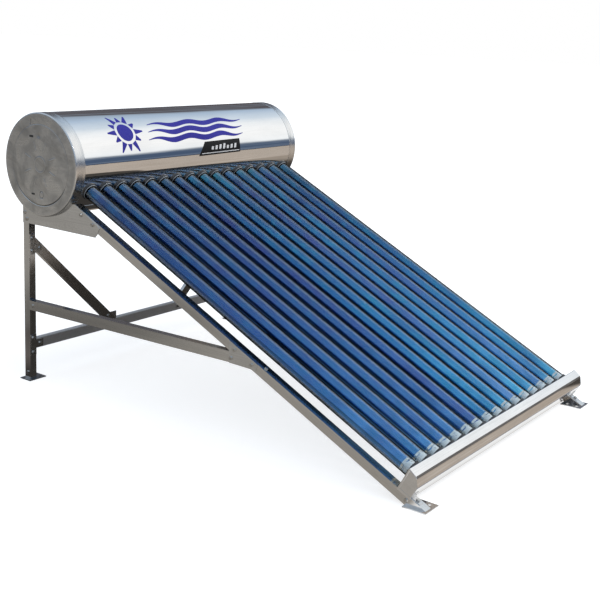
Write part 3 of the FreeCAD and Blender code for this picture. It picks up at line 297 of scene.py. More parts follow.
def cap_steel():
    """Pressed cap: matte rolled sheet with drawing marks that circle the centre and soft smudges, with painted shade in
    the hollows, along the groove's lower arc and over the upper part, and a painted highlight on the crests.
    """
    t = Tree("cap_pressed_steel")
    o = t.coord()
    x, y, z = t.split(o)
    dy = t.math("SUBTRACT", y, AXIS_Y)
    dz = t.math("SUBTRACT", z, AXIS_Z)
    rad = t.math("SQRT", t.math("ADD", t.math("MULTIPLY", dy, dy), t.math("MULTIPLY", dz, dz)))
    roll = t.noise(t.mapped(o, scale=(40, 9, 520), rot=(math.radians(9), 0, 0)), 1.0, 4.0, 0.6)
    smudge = t.noise(t.mapped(o, loc=(0, 4.2, 1.3)), 9.0, 5.0, 0.6, 1.1)
    fine = t.noise(o, 190.0, 3.0, 0.6)
    broad = t.noise(o, 3.2, 2.0, 0.5)
    base = (0.74, 0.735, 0.72)
    c = t.mix(t.fit(broad, 0.3, 0.7), [v * 0.90 for v in base], [min(1, v * 1.06) for v in base])
    c = t.mix(t.fit(smudge, 0.44, 0.66, 0.0, 0.85), c, (0.38, 0.375, 0.36))
    wipe = t.noise(t.mapped(o, scale=(10, 7, 24), rot=(math.radians(-24), 0, 0)), 1.0, 5.0, 0.62, 0.8)
    c = t.mix(t.fit(wipe, 0.50, 0.68, 0.0, 0.55), c, (0.33, 0.32, 0.30))
    c = t.mix(t.fit(wipe, 0.44, 0.30, 0.0, 0.35), c, (0.86, 0.855, 0.84))
    geo = t.node("NewGeometry")
    # painted shade darkens the pressed hollows, and a painted highlight lightens the crests
    c = t.mix(t.fit(geo.outputs["Pointiness"], 0.497, 0.480, 0.0, 0.75), c, (0.16, 0.155, 0.145))
    c = t.mix(t.fit(geo.outputs["Pointiness"], 0.504, 0.522, 0.0, 0.45), c, (0.90, 0.895, 0.88))
    # painted shade: the ring groove is drawn dark along its lower arc only
    groove = t.math("ABSOLUTE", t.math("SUBTRACT", rad, 0.1588))
    low = t.math("MULTIPLY", t.fit(groove, 0.0010, 0.0026, 1.0, 0.0), t.fit(dz, -0.125, -0.060, 1.0, 0.0, smooth=True))
    c = t.mix(t.math("MULTIPLY", low, 0.85), c, (0.07, 0.068, 0.065))
    c = t.mix(t.fit(roll, 0.35, 0.65, 0.0, 0.45), c, [v * 0.72 for v in base])
    c = t.mix(t.fit(fine, 0.62, 0.75, 0.0, 0.35), c, (0.34, 0.33, 0.31))
    # painted shade: the upper, rear part of the cap is darkened
    high = t.math("ADD", dz, t.math("MULTIPLY", dy, 0.8))
    c = t.mix(t.fit(high, -0.02, 0.20, 0.0, 0.26, smooth=True), c, (0.36, 0.355, 0.35))
    edge = t.fit(rad, 0.186, 0.199, 0.0, 0.35, smooth=True)
    c = t.mix(edge, c, (0.74, 0.74, 0.73))
    r = t.fit(smudge, 0.35, 0.7, 0.26, 0.38)
    r = t.math("ADD", r, t.fit(roll, 0.3, 0.7, -0.03, 0.04), clamp=True)
    n = t.bump(roll, 0.10, 0.0003)
    n = t.bump(t.noise(o, 14.0, 2.0, 0.5), 0.10, 0.003, n)
    t.set(base=c, metallic=1.0, rough=r, normal=n)
    return t.mat


def rim_steel():
    t = Tree("cap_rim_steel")
    o = t.coord()
    x, y, z = t.split(o)
    g = t.noise(t.mapped(o, scale=(900, 6, 6)), 1.0, 3.0, 0.6)              # turned lines round the band
    blot = t.noise(t.mapped(o, scale=(14, 8, 8)), 1.0, 4.0, 0.6, 0.5)
    c = t.mix(t.fit(blot, 0.35, 0.7), (0.90, 0.90, 0.90), (0.76, 0.76, 0.755))
    c = t.mix(t.fit(g, 0.4, 0.65, 0.0, 0.3), c, (0.55, 0.54, 0.52))
    r = t.fit(blot, 0.3, 0.7, 0.18, 0.28)
    t.set(base=c, metallic=1.0, rough=r, normal=t.bump(g, 0.10, 0.0002))
    return t.mat


def tail_steel():
    t = Tree("tail_polished_steel")
    o = t.coord()
    line = t.noise(t.mapped(o, scale=(2.0, 600, 600)), 1.0, 3.0, 0.6)
    wave = t.noise(t.mapped(o, scale=(2.0, 18, 18)), 1.0, 1.0, 0.4)
    cloud = t.noise(t.mapped(o, scale=(6, 22, 22)), 1.0, 4.0, 0.6, 0.3)
    c = t.mix(t.fit(cloud, 0.35, 0.7), (0.93, 0.93, 0.93), (0.84, 0.84, 0.84))
    c = t.mix(t.fit(line, 0.42, 0.64, 0.0, 0.28), c, (0.66, 0.655, 0.65))
    r = t.fit(cloud, 0.3, 0.75, 0.045, 0.10)
    n = t.bump(wave, 0.18, 0.0012)
    n = t.bump(line, 0.05, 0.0002, n)
    t.set(base=c, metallic=1.0, rough=r, normal=n)
    return t.mat


def fold_painted_shade():
    """Painted shade along the crease of the tail's brow: a dark material on the bend facet that stands for the shade
    and dark reflection there.
    """
    t = Tree("tail_fold_painted_shade")
    o = t.coord()
    dust = t.noise(t.mapped(o, scale=(14, 200, 200)), 1.0, 4.0, 0.6)
    speck = t.noise(o, 260.0, 3.0, 0.6)
    c = t.mix(t.fit(dust, 0.35, 0.68), (0.115, 0.104, 0.095), (0.205, 0.188, 0.172))
    c = t.mix(t.fit(speck, 0.58, 0.72, 0.0, 0.4), c, (0.30, 0.28, 0.26))
    t.set(base=c, metallic=0.45, rough=t.fit(dust, 0.3, 0.7, 0.42, 0.55), normal=t.bump(speck, 0.12, 0.0002))
    return t.mat


def zinc():
    t = Tree("zinc_plated_hardware")
    o = t.coord()
    sp = t.voronoi(o, 900.0)
    cl = t.noise(o, 130.0, 3.0, 0.6)
    c = t.mix(t.fit(cl, 0.35, 0.7), (0.70, 0.69, 0.66), (0.48, 0.46, 0.42))
    c = t.mix(t.fit(sp, 0.1, 0.5, 0.0, 0.2), c, (0.42, 0.42, 0.43))
    geo = t.node("NewGeometry")
    c = t.mix(t.fit(geo.outputs["Pointiness"], 0.52, 0.62, 0.0, 0.5), c, (0.86, 0.85, 0.83))
    t.set(base=c, metallic=1.0, rough=t.fit(cl, 0.3, 0.7, 0.20, 0.34), normal=t.bump(cl, 0.08, 0.0003))
    return t.mat


def rubber(name, base, gloss=0.34, coat=0.25, coat_rough=0.22):
    t = Tree(name)
    o = t.coord()
    grain = t.noise(o, 1500.0, 2.0, 0.5)
    bloom = t.noise(o, 55.0, 4.0, 0.6, 0.5)
    ribs = t.noise(t.mapped(o, scale=(30, 30, 30)), 1.0, 2.0, 0.5)
    c = t.mix(t.fit(bloom, 0.45, 0.75, 0.0, 0.7), base, [v * 1.9 + 0.012 for v in base])
    r = t.fit(bloom, 0.35, 0.7, gloss - 0.06, gloss + 0.10)
    n = t.bump(grain, 0.06, 0.0002)
    n = t.bump(ribs, 0.05, 0.001, n)
    t.set(base=c, rough=r, normal=n, coat=coat, coat_rough=coat_rough)
    return t.mat


def foam():
    t = Tree("foam_cream")
    o = t.coord()
    cell = t.voronoi(o, 420.0)
    cl = t.noise(o, 20.0, 4.0, 0.6)
    c = t.mix(t.fit(cl, 0.3, 0.7), rgb(222, 203, 160), rgb(196, 172, 122))
    c = t.mix(t.fit(cell, 0.0, 0.5, 0.35, 0.0), c, rgb(150, 126, 84))
    t.set(base=c, rough=0.9, normal=t.bump(cell, 0.5, 0.001))
    return t.mat


def tank_steel():
    return steel("inner_tank_steel", (0.66, 0.66, 0.65), 0.30, grain=0.8, stain=0.15)


def coating():
    """Selective coating under the glass: deep navy at the mouth, brighter blue lower down as painted light, with
    interference tints. Object colour carries each tube's own tint and a painted brightening of the right-hand tubes."""
    t = Tree("absorber_coating")
    o = t.coord()
    x, y, z = t.split(o)
    down = t.math("MULTIPLY", y, -1.0)                                       # distance from the tank axis
    oi = t.node("ObjectInfo")
    tint = oi.outputs["Color"]
    seedv = t.node("VectorMath", operation="ADD")
    t.put(seedv.inputs[0], o)
    loc = t.node("VectorMath", operation="MULTIPLY")
    t.put(loc.inputs[0], oi.outputs["Location"])
    loc.inputs[1].default_value = (31.0, 0, 0)
    t.put(seedv.inputs[1], loc.outputs[0])
    sv = seedv.outputs[0]
    slow = t.noise(t.mapped(sv, scale=(9, 4.5, 9)), 1.0, 3.0, 0.55)
    hue = t.noise(t.mapped(sv, scale=(30, 14, 30)), 1.0, 3.0, 0.6)
    streak = t.noise(t.mapped(sv, scale=(260, 5, 260)), 1.0, 3.0, 0.6)
    grit = t.noise(sv, 800.0, 2.0, 0.5)
    # painted light: the blue brightens towards the lower end of the tube
    base = t.ramp(t.fit(down, 0.10, 1.90), [
        (0.0, (0.30, 0.47, 0.54)), (0.045, (0.25, 0.42, 0.51)), (0.066, (0.060, 0.165, 0.265)), (0.100, (0.044, 0.092, 0.205)), (0.24, (0.040, 0.100, 0.265)),
        (0.45, (0.060, 0.165, 0.42)), (0.70, (0.088, 0.265, 0.60)), (0.88, (0.130, 0.400, 0.80)), (0.955, (0.150, 0.450, 0.86)),
        (0.975, (0.26, 0.50, 0.76)), (1.0, (0.46, 0.57, 0.64))])
    c = t.mix(t.fit(slow, 0.42, 0.66, 0.0, 0.55), base, (0.085, 0.130, 0.38))
    c = t.mix(t.fit(hue, 0.46, 0.66, 0.0, 0.50), c, (0.050, 0.270, 0.50))
    c = t.mix(t.fit(streak, 0.42, 0.68, 0.0, 0.20), c, (0.05, 0.20, 0.50))
    c = t.mix(t.fit(grit, 0.60, 0.75, 0.0, 0.25), c, (0.010, 0.040, 0.14))
    # multiplies in each tube's object colour: its own tint and the painted sky light
    c = t.mix(1.0, c, tint, "MULTIPLY")
    r = t.fit(slow, 0.3, 0.7, 0.15, 0.22)
    n = t.bump(streak, 0.04, 0.0002)
    t.set(base=c, metallic=1.0, rough=r, normal=n, tint=(0.55, 0.70, 0.95))
    return t.mat


def clear_glass():
    """Borosilicate wall: see-through, with its own reflection growing towards the edge and painted shade darkening it
    near the outline.
    """
    t = Tree("tube_clear_glass", shader=False)
    o = t.coord()
    haze = t.noise(t.mapped(o, scale=(12, 2.4, 12)), 1.0, 4.0, 0.6, 0.3)
    drops = t.noise(o, 420.0, 2.0, 0.5)
    clear = t.node("BsdfTransparent")
    lw = t.node("LayerWeight")
    lw.inputs["Blend"].default_value = 0.5
    rim = t.fit(lw.outputs["Facing"], 0.42, 0.62, 0.0, 1.0, smooth=True)     # partly the longer way through the wall, mostly painted shade for the dark gaps between the tubes
    body = t.mix(t.fit(haze, 0.4, 0.7), (0.965, 0.985, 0.985), (0.945, 0.970, 0.978))
    t.put(clear.inputs[0], t.mix(rim, body, (0.24, 0.27, 0.29)))
    gl = t.node("BsdfGlossy")
    gl.inputs["Color"].default_value = (0.78, 0.76, 0.74, 1)
    t.put(gl.inputs["Roughness"], t.fit(haze, 0.3, 0.75, 0.02, 0.06))
    n = t.bump(t.noise(t.mapped(o, scale=(9, 3, 9)), 1.0, 1.0, 0.4), 0.10, 0.001)
    t.put(gl.inputs["Normal"], n)
    fres = t.node("Fresnel")
    fres.inputs[0].default_value = 1.46
    fac = t.math("MULTIPLY", fres.outputs[0], t.fit(drops, 0.35, 0.7, 0.24, 0.32), clamp=True)
    mixs = t.node("MixShader")
    t.put(mixs.inputs[0], fac)
    t.nt.links.new(clear.outputs[0], mixs.inputs[1])
    t.nt.links.new(gl.outputs[0], mixs.inputs[2])
    t.nt.links.new(mixs.outputs[0], t.out.inputs[0])
    return t.mat


def getter_film():
    """Barium mirror flashed on the glass end: bright silver with a brownish, thinning edge."""
    t = Tree("getter_mirror_film")
    o = t.coord()
    x, y, z = t.split(o)
    down = t.math("MULTIPLY", y, -1.0)
    cloud = t.noise(o, 70.0, 4.0, 0.62, 0.5)
    speck = t.noise(o, 260.0, 3.0, 0.6)
    edge = t.math("ADD", down, t.fit(cloud, 0.2, 0.8, -0.006, 0.006))
    c = t.mix(t.fit(edge, 1.848, 1.866, 0.0, 1.0), (0.66, 0.72, 0.78), (0.90, 0.91, 0.92))
    c = t.mix(t.fit(speck, 0.55, 0.68, 0.0, 0.45), c, (0.70, 0.72, 0.74))
    t.set(base=c, metallic=0.35, rough=t.fit(cloud, 0.3, 0.7, 0.30, 0.45), normal=t.bump(speck, 0.25, 0.0006))
    return t.mat


def spring_steel():
    return steel("getter_spring_steel", (0.80, 0.80, 0.79), 0.24, grain=2.0, stain=0.1)


def plastic(name, base, rough=0.45):
    t = Tree(name)
    o = t.coord()
    vdi = t.noise(o, 900.0, 2.0, 0.5)
    cl = t.noise(o, 25.0, 3.0, 0.6)
    c = t.mix(t.fit(cl, 0.35, 0.7), base, [v * 1.35 + 0.01 for v in base])
    t.set(base=c, rough=t.fit(cl, 0.3, 0.7, rough - 0.05, rough + 0.08), normal=t.bump(vdi, 0.15, 0.0003))
    return t.mat


def ink(name, base, rough=0.42):
    """Screen-printed vinyl: even ink with a fine orange-peel and a few scuffs."""
    t = Tree(name)
    o = t.coord()
    peel = t.noise(o, 900.0, 2.0, 0.5)
    scuff = t.noise(t.mapped(o, scale=(8, 300, 300)), 1.0, 3.0, 0.6)
    tone = t.noise(o, 6.0, 2.0, 0.5)
    c = t.mix(t.fit(tone, 0.3, 0.7), base, [v * 0.86 for v in base])
    c = t.mix(t.fit(scuff, 0.62, 0.74, 0.0, 0.30), c, [min(1, v * 1.25 + 0.01) for v in base])
    t.set(base=c, rough=t.fit(tone, 0.3, 0.7, rough - 0.04, rough + 0.08), normal=t.bump(peel, 0.05, 0.0002),
          spec=0.25)
    return t.mat


QUARTER = math.radians(90)
BRACE = math.atan2(0.400, 0.461)
M = {
    "shell": mirror_shell(),
    "cap": cap_steel(),
    "rim": rim_steel(),
    "tail": tail_steel(),
    "fold": fold_painted_shade(),
    "tank": tank_steel(),
    "rail": steel("rail_steel", (0.76, 0.75, 0.735), 0.13, rot=(-THETA, 0, -QUARTER)),
    "leg": steel("leg_steel", (0.74, 0.735, 0.725), 0.13, rot=(0, QUARTER, 0)),
    "bar": steel("bar_steel", (0.80, 0.775, 0.76), 0.40, metal=0.74),
    # painted shade: the rear braces are a darker copy of the frame steel
    "brace_left": steel("brace_left_steel_painted_shade", (0.62, 0.615, 0.61), 0.14, rot=(0, -BRACE, 0)),
    "brace_right": steel("brace_right_steel_painted_shade", (0.62, 0.615, 0.61), 0.14, rot=(0, BRACE, 0)),
    "strut": steel("strut_steel", (0.74, 0.735, 0.72), 0.14, rot=(0, 0, -QUARTER)),
    "plate": steel("side_plate_steel", (0.74, 0.745, 0.745), 0.16, rot=(0, 0, -QUARTER), grain=0.8, mottle=0.10),
    # painted shade: the rear feet are a darker copy of the foot steel
    "foot_painted_shade": steel("rear_foot_steel_painted_shade", (0.36, 0.36, 0.36), 0.32, grain=0.7, stain=0.3),
    "foot": steel("foot_steel", (0.78, 0.78, 0.78), 0.20, grain=0.7, stain=0.3),
    "zinc": zinc(),
    "dust_lip": rubber("dust_ring_lip", (0.20, 0.22, 0.24), gloss=0.16, coat=1.0, coat_rough=0.08),
    "dust_rubber": rubber("dust_ring_rubber", (0.012, 0.012, 0.014), gloss=0.20, coat=1.0, coat_rough=0.09),
    "silicone": rubber("seal_silicone", (0.30, 0.075, 0.05), 0.42, 0.1),
    "grommet": rubber("grommet_rubber", (0.018, 0.018, 0.018), 0.5, 0.05),
    "foam": foam(),
    "coating": coating(),
    "glass": clear_glass(),
    "film": getter_film(),
    "spring": spring_steel(),
    "cup": plastic("tube_cup_plastic", (0.03, 0.03, 0.032)),
    "plug": plastic("slot_plug_plastic", (0.022, 0.022, 0.022), 0.5),
    "blue_ink": ink("graphic_blue", rgb(44, 40, 150)),
    "black_ink": ink("graphic_black", rgb(16, 16, 18)),
    "white_ink": ink("graphic_white", rgb(232, 232, 232)),
}


# ------------------------------------------------------------------ geometry helpers
def link(me, name, mat, matrix=None, body="root", replaces=(), sharp=32.0):
    ob = bpy.data.objects.new(name, me)
    bpy.context.scene.collection.objects.link(ob)
    if mat is not None:
        if len(me.materials):
            pass
        else:
            me.materials.append(mat)
    if matrix is not None:
        ob.matrix_world = matrix
    if sharp:
        me.polygons.foreach_set("use_smooth", [True] * len(me.polygons))
        me.set_sharp_from_angle(angle=math.radians(sharp))
    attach(ob, body)
    if replaces:
        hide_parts(*replaces)
    return ob


def mesh_from(bm, name):
    bmesh.ops.recalc_face_normals(bm, faces=bm.faces)
    me = bpy.data.meshes.new(name)
    bm.to_mesh(me)
    bm.free()
    return me


def lathe_bm(bm, profile, segs, centre=(0, 0, 0), warp=None, closed=True, axis="y"):
    """Turns a profile of (radius, along) about the local y axis (or x).  warp(r, along, angle) may move a point."""
    rings = []
    for r, a in profile:
        if r <= 1e-9:
            p = (0.0, a, 0.0) if axis == "y" else (a, 0.0, 0.0)
            rings.append([bm.verts.new(Vector(p) + Vector(centre))])
            continue
        ring = []
        for k in range(segs):
            ang = 2 * math.pi * k / segs
            rr, aa = warp(r, a, ang) if warp else (r, a)
            s, c = math.sin(ang) * rr, math.cos(ang) * rr
            p = (s, aa, c) if axis == "y" else (aa, s, c)
            ring.append(bm.verts.new(Vector(p) + Vector(centre)))
        rings.append(ring)
    n = len(rings)
    for i in range(n if closed else n - 1):
        a, b = rings[i], rings[(i + 1) % n]
        if len(a) == 1 and len(b) == 1:
            continue
        for k in range(segs):
            k2 = (k + 1) % segs
            if len(a) == 1:
                bm.faces.new((a[0], b[k2], b[k]))
            elif len(b) == 1:
                bm.faces.new((a[k], a[k2], b[0]))
            else:
                bm.faces.new((a[k], a[k2], b[k2], b[k]))
    return rings


def arc_pts(cx, cy, r, a0, a1, n):
    return [(cx + r * math.cos(math.radians(a0 + (a1 - a0) * i / n)),
             cy + r * math.sin(math.radians(a0 + (a1 - a0) * i / n))) for i in range(n + 1)]


def refined(node, mat, bevel=0.0005, name=None, angle=28.0, segments=2, dissolve=0.4):
    """A cleaned copy of a CAD node with rolled edges, which stands for it."""
    src = frame["nodes"][node]
    bm = bmesh.new()
    bm.from_mesh(src.data)
    bmesh.ops.remove_doubles(bm, verts=bm.verts, dist=2e-6)
    bmesh.ops.dissolve_limit(bm, angle_limit=math.radians(dissolve), verts=bm.verts, edges=bm.edges)
    me = bpy.data.meshes.new((name or node) + "_mesh")
    bm.to_mesh(me)
    bm.free()
    me.materials.append(mat)
    ob = link(me, name or ("fine_" + node), None, body=src["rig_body"], replaces=(node,), sharp=angle)
    if bevel:
        b = ob.modifiers.new("rolled_edges", "BEVEL")
        b.width = bevel
        b.segments = segments
        b.limit_method = "ANGLE"
        b.angle_limit = math.radians(angle)
        b.use_clamp_overlap = True
        b.miter_outer = "MITER_ARC"
        w = ob.modifiers.new("normals", "WEIGHTED_NORMAL")
        w.keep_sharp = True
    return ob


# ------------------------------------------------------------------ frame members
for tag in ("left", "right"):
    refined("rail_" + tag, M["rail"], 0.0007)
    refined("leg_" + tag, M["leg"], 0.0007)
    refined("side_strut_" + tag, M["strut"], 0.0007)
    refined("rear_brace_" + tag, M["brace_" + tag], 0.0007)
    refined("side_plate_" + tag, M["plate"], 0.0008)
    refined("rail_gusset_" + tag, M["plate"], 0.0008)
    refined("foot_rear_" + tag, M["foot_painted_shade"], 0.0009)
    refined("foot_front_" + tag, M["foot"], 0.0009)
refined("rear_crossbar", M["bar"], 0.0007)
refined("crossbar_clips", M["foot"], 0.0006)
refined("brace_clips", M["foot"], 0.0006)
refined("strut_cleats", M["foot"], 0.0006)
refined("tail_lugs", M["foot"], 0.0006)
refined("frame_nuts", M["zinc"], 0.0004)
refined("frame_bolts", M["zinc"], 0.0004)
refined("tube_cups", M["cup"], 0.0004)

for node, key in (("outer_shell", "shell"), ("inner_tank", "tank"), ("tank_head_left", "tank"),
                  ("tank_head_right", "tank"), ("foam_insulation", "foam"), ("tube_seals", "silicone"),
                  ("pipe_grommets", "grommet"), ("cold_inlet_stub", "zinc"), ("hot_outlet_stub", "zinc"),
                  ("vent_stub", "zinc")):
    ob = frame["nodes"][node]
    for i in range(len(ob.material_slots)):
        ob.material_slots[i].material = M[key]


# ------------------------------------------------------------------ end caps
def bead(y, z, y0, z0, y1, z1, w):
    """Smooth 0..1 bump along a capsule."""
    dx, dz = y1 - y0, z1 - z0
    L2 = dx * dx + dz * dz
    u = 0.0 if L2 == 0 else max(0.0, min(1.0, ((y - y0) * dx + (z - z0) * dz) / L2))
    d = math.hypot(y - (y0 + u * dx), z - (z0 + u * dz)) / w
    return 0.0 if d >= 1 else 0.5 + 0.5 * math.cos(math.pi * d)


def step(v, a, b):
    t = max(0.0, min(1.0, (v - a) / (b - a)))
    return t * t * (3 - 2 * t)


def cap_height(y, z):
    """Outward height of the pressing at (y, z) from the tank axis, in metres."""
    r = math.hypot(y, z)
    h = 0.0
    ring = abs(r - 0.1588)
    if ring < 0.0036:
        low = math.degrees(math.atan2(z, y))
        deep = step(-low, 40, 62) * (1 - step(-low, 128, 158))          # the lower arc is cut deeper
        h -= (0.0007 + 0.0017 * deep) * (0.5 + 0.5 * math.cos(math.pi * ring / 0.0036))
    # stiffening beads round a plain hub
    hub = abs(r - 0.030)
    if hub < 0.0042:
        h += 0.0010 * (0.5 + 0.5 * math.cos(math.pi * hub / 0.0042))
    for k in range(8):
        a = math.radians(22.5 + 45 * k)
        h += 0.0010 * bead(y, z, 0.058 * math.cos(a), 0.058 * math.sin(a), 0.090 * math.cos(a), 0.090 * math.sin(a), 0.0040)
    # round dimple, knock-out outline and a small recess
    d = math.hypot(y - 0.006, (z - 0.1135))
    if d < 0.015:
        h -= 0.0020 * (0.5 + 0.5 * math.cos(math.pi * d / 0.015))
    d = abs(math.hypot((y + 0.008) / 0.8, z + 0.116) - 0.0135)
    if d < 0.0028:
        h -= 0.0016 * (0.5 + 0.5 * math.cos(math.pi * d / 0.0028))
    h -= 0.0016 * bead(y, z, 0.053, 0.156, 0.051, 0.172, 0.008)
    h += 0.00025 * noise.noise(Vector((y * 9, z * 9, 0.3)))         # thin sheet is never quite flat
    return h


def end_cap(side):
    tag = "left" if side < 0 else "right"
    bm = bmesh.new()
    face_x = HALF - 0.0012
    SEG = 288
    radii = list(np.linspace(0.0, 0.150, 74)) + list(np.linspace(0.1515, 0.1665, 22)) + list(np.linspace(0.168, 0.1975, 18))
    rows = [(r, None) for r in radii[1:]]
    fillet = arc_pts(HALF - 0.0012 - 0.0050, 0.1978, 0.0050, 0, 90, 8)       # (x, r)
    rows += [(r, x) for x, r in fillet[1:]]
    band = [(HALF - 0.012, 0.2028), (HALF - 0.030, 0.20275), (HALF - 0.044, 0.20275), (HALF - 0.0455, 0.2030),
            (HALF - 0.0475, 0.20300), (HALF - 0.0492, 0.20285), (HALF - 0.0500, 0.2026), (HALF - 0.0500, 0.20222)]
    rows += [(r, x) for x, r in band]
    inner = [(HALF - 0.030, 0.20215), (HALF - 0.0080, 0.20215), (HALF - 0.0035, 0.1985), (HALF - 0.0035, 0.160),
             (HALF - 0.0060, 0.1588), (HALF - 0.0060, 0.100), (HALF - 0.0060, 0.05)]
    rows += [(r, x) for x, r in inner]
    centre = bm.verts.new((side * (face_x + cap_height(0, 0)), AXIS_Y, AXIS_Z))
    prev = None
    for r, x in rows:
        ring = []
        for k in range(SEG):
            a = 2 * math.pi * k / SEG
            y, z = r * math.cos(a), r * math.sin(a)
            if x is None:
                # mirrored left to right, so that both caps are the same pressing
                h = cap_height(y * (1 if side < 0 else -1), z)
                xx = min(face_x + h, HALF - 0.00005)
            else:
                xx = x
            ring.append(bm.verts.new((side * xx, AXIS_Y + y, AXIS_Z + z)))
        for k in range(SEG):
            k2 = (k + 1) % SEG
            if prev is None:
                f = bm.faces.new((centre, ring[k], ring[k2]))
            else:
                f = bm.faces.new((prev[k], ring[k], ring[k2], prev[k2]))
            f.material_index = 0 if (x is None) else 1
        prev = ring
    last = bm.verts.new((side * (HALF - 0.0060), AXIS_Y, AXIS_Z))
    for k in range(SEG):
        bm.faces.new((prev[k], last, prev[(k + 1) % SEG])).material_index = 1
    me = mesh_from(bm, "cap_" + tag)
    me.materials.append(M["cap"])
    me.materials.append(M["rim"])
    link(me, "cap_pressing_" + tag, None, replaces=("end_cap_" + tag,), sharp=50)
    # slot plugs: rounded dark inserts in the two lifting slots
    bm = bmesh.new()
    for cy, cz, w, h in ((0.048, 0.1077, 0.0230, 0.0085), (0.040, -0.1177, 0.0190, 0.0070)):
        cy *= 1 if side < 0 else -1
        for level, (dx, sc) in enumerate(((0.0028, 1.0), (0.0010, 1.0), (0.00065, 0.96), (0.00050, 0.86))):
            ring = []
            for k in range(40):
                a = 2 * math.pi * k / 40
                ca, sa = math.cos(a), math.sin(a)
                e = 5.0
                f = (abs(ca) ** e + abs(sa) ** e) ** (-1 / e)
                ring.append(bm.verts.new((side * (HALF - dx), AXIS_Y + cy + ca * f * w / 2 * sc, AXIS_Z + cz + sa * f * h / 2 * sc)))
            if level == 0:
                bm.faces.new(ring)
            else:
                for k in range(40):
                    k2 = (k + 1) % 40
                    bm.faces.new((prev[k], prev[k2], ring[k2], ring[k]))
            prev = ring
        bm.faces.new(prev)
    me = mesh_from(bm, "slot_plugs_" + tag)
    me.materials.append(M["plug"])
    link(me, "cap_slot_plugs_" + tag, None, sharp=40)


end_cap(-1)
end_cap(1)


# ------------------------------------------------------------------ tubes
def vessel_outer():
    """Outer glass wall, closed at the bottom and turned in at the mouth."""
    R, w = 0.0290, 0.0016
    top, cen = -0.130, -1.901                                         # local y of the mouth and of the round end
    prof = [(R, top - 0.0040), (R, -0.30), (R, -0.9), (R, -1.5), (R, cen)]
    prof += [(R * math.cos(math.radians(a)), cen - R * math.sin(math.radians(a))) for a in range(10, 90, 10)]
    prof += [(0.0, cen - R)]
    r = R - w
    prof_in = [(0.0, cen - r)]
    prof_in += [(r * math.cos(math.radians(a)), cen - r * math.sin(math.radians(a))) for a in range(80, 0, -10)]
    prof_in += [(r, cen), (r, -1.5), (r, -0.9), (r, -0.30), (r, top - 0.0040)]
    lip = [(0.02745, top - 0.0020), (0.02640, top - 0.0009), (0.0252, top), (0.0268, top + 0.0), (0.0282, top - 0.0010)]
    bm = bmesh.new()
    lathe_bm(bm, prof + [], 64, closed=False)
    lathe_bm(bm, prof_in + lip + [(R, top - 0.0040)], 64, closed=False)
    bmesh.ops.remove_doubles(bm, verts=bm.verts, dist=1e-6)
    return mesh_from(bm, "outer_glass")


def vessel_inner():
    """Inner tube, coated on the outside."""
    R, w = 0.0235, 0.0016
    top, cen = -0.1305, -1.8525 + 0.0
    prof = [(R + 0.0012, top - 0.0005), (R, top - 0.004), (R, -0.30), (R, -0.9), (R, -1.5), (R, cen)]
    prof += [(R * math.cos(math.radians(a)), cen - R * math.sin(math.radians(a))) for a in range(10, 90, 10)]
    prof += [(0.0, cen - R)]
    r = R - w
    prof_in = [(0.0, cen - r)]
    prof_in += [(r * math.cos(math.radians(a)), cen - r * math.sin(math.radians(a))) for a in range(80, 0, -10)]
    prof_in += [(r, cen), (r, -0.9), (r, top - 0.002), (r + 0.0010, top)]
    bm = bmesh.new()
    lathe_bm(bm, prof, 64, closed=False)
    lathe_bm(bm, prof_in + [(R + 0.0012, top - 0.0005)], 64, closed=False)
    bmesh.ops.remove_doubles(bm, verts=bm.verts, dist=1e-6)
    return mesh_from(bm, "inner_tube")


def film_mesh():
    """Getter mirror on the inside of the glass end, with an uneven upper edge."""
    R = 0.02715
    cen = -1.901
    edge = -1.8480
    bm = bmesh.new()

    def warp(r, a, ang):
        if abs(a - edge) < 1e-6:
            return r, a + 0.0022 * math.sin(3 * ang + 0.6) + 0.0012 * math.sin(7 * ang)
        return r, a

    prof = [(R, edge), (R, -1.862), (R, -1.88), (R, cen)]
    prof += [(R * math.cos(math.radians(a)), cen - R * math.sin(math.radians(a))) for a in range(12, 90, 13)]
    prof += [(0.0, cen - R)]
    r = R - 0.00018
    prof_in = [(0.0, cen - r)]
    prof_in += [(r * math.cos(math.radians(a)), cen - r * math.sin(math.radians(a))) for a in range(77, 0, -13)]
    prof_in += [(r, cen), (r, -1.88), (r, -1.862), (r, edge)]
    lathe_bm(bm, prof, 64, warp=warp, closed=False)
    lathe_bm(bm, prof_in + [(R, edge)], 64, warp=warp, closed=False)
    bmesh.ops.remove_doubles(bm, verts=bm.verts, dist=1e-6)
    return mesh_from(bm, "getter_film")


def clip_mesh():
    """Spring clip that holds the inner tube's end: a collar with four bowed fingers."""
    bm = bmesh.new()
    prof = [(0.02355, -1.8360), (0.02400, -1.8360), (0.02400, -1.8450), (0.02355, -1.8450)]
    lathe_bm(bm, prof, 48)
    for k in range(4):
        a0 = math.radians(45 + 90 * k)
        pts = []
        for i in range(11):
            u = i / 10
            rad = 0.02385 + 0.0032 * math.sin(math.pi * min(1, u * 1.15)) - 0.002 * max(0, u - 0.85)
            pts.append((rad, -1.8440 - 0.030 * u))
        prev = None
        for rad, yy in pts:
            ring = []
            for da, dr in ((-0.09, 0), (0.09, 0), (0.09, 0.00035), (-0.09, 0.00035)):
                rr = rad + dr
                ring.append(bm.verts.new((rr * math.sin(a0 + da), yy, rr * math.cos(a0 + da))))
            if prev:
                for j in range(4):
                    j2 = (j + 1) % 4
                    bm.faces.new((prev[j], prev[j2], ring[j2], ring[j]))
            else:
                bm.faces.new(ring)
            prev = ring
        bm.faces.new(prev)
    return mesh_from(bm, "spring_clip")


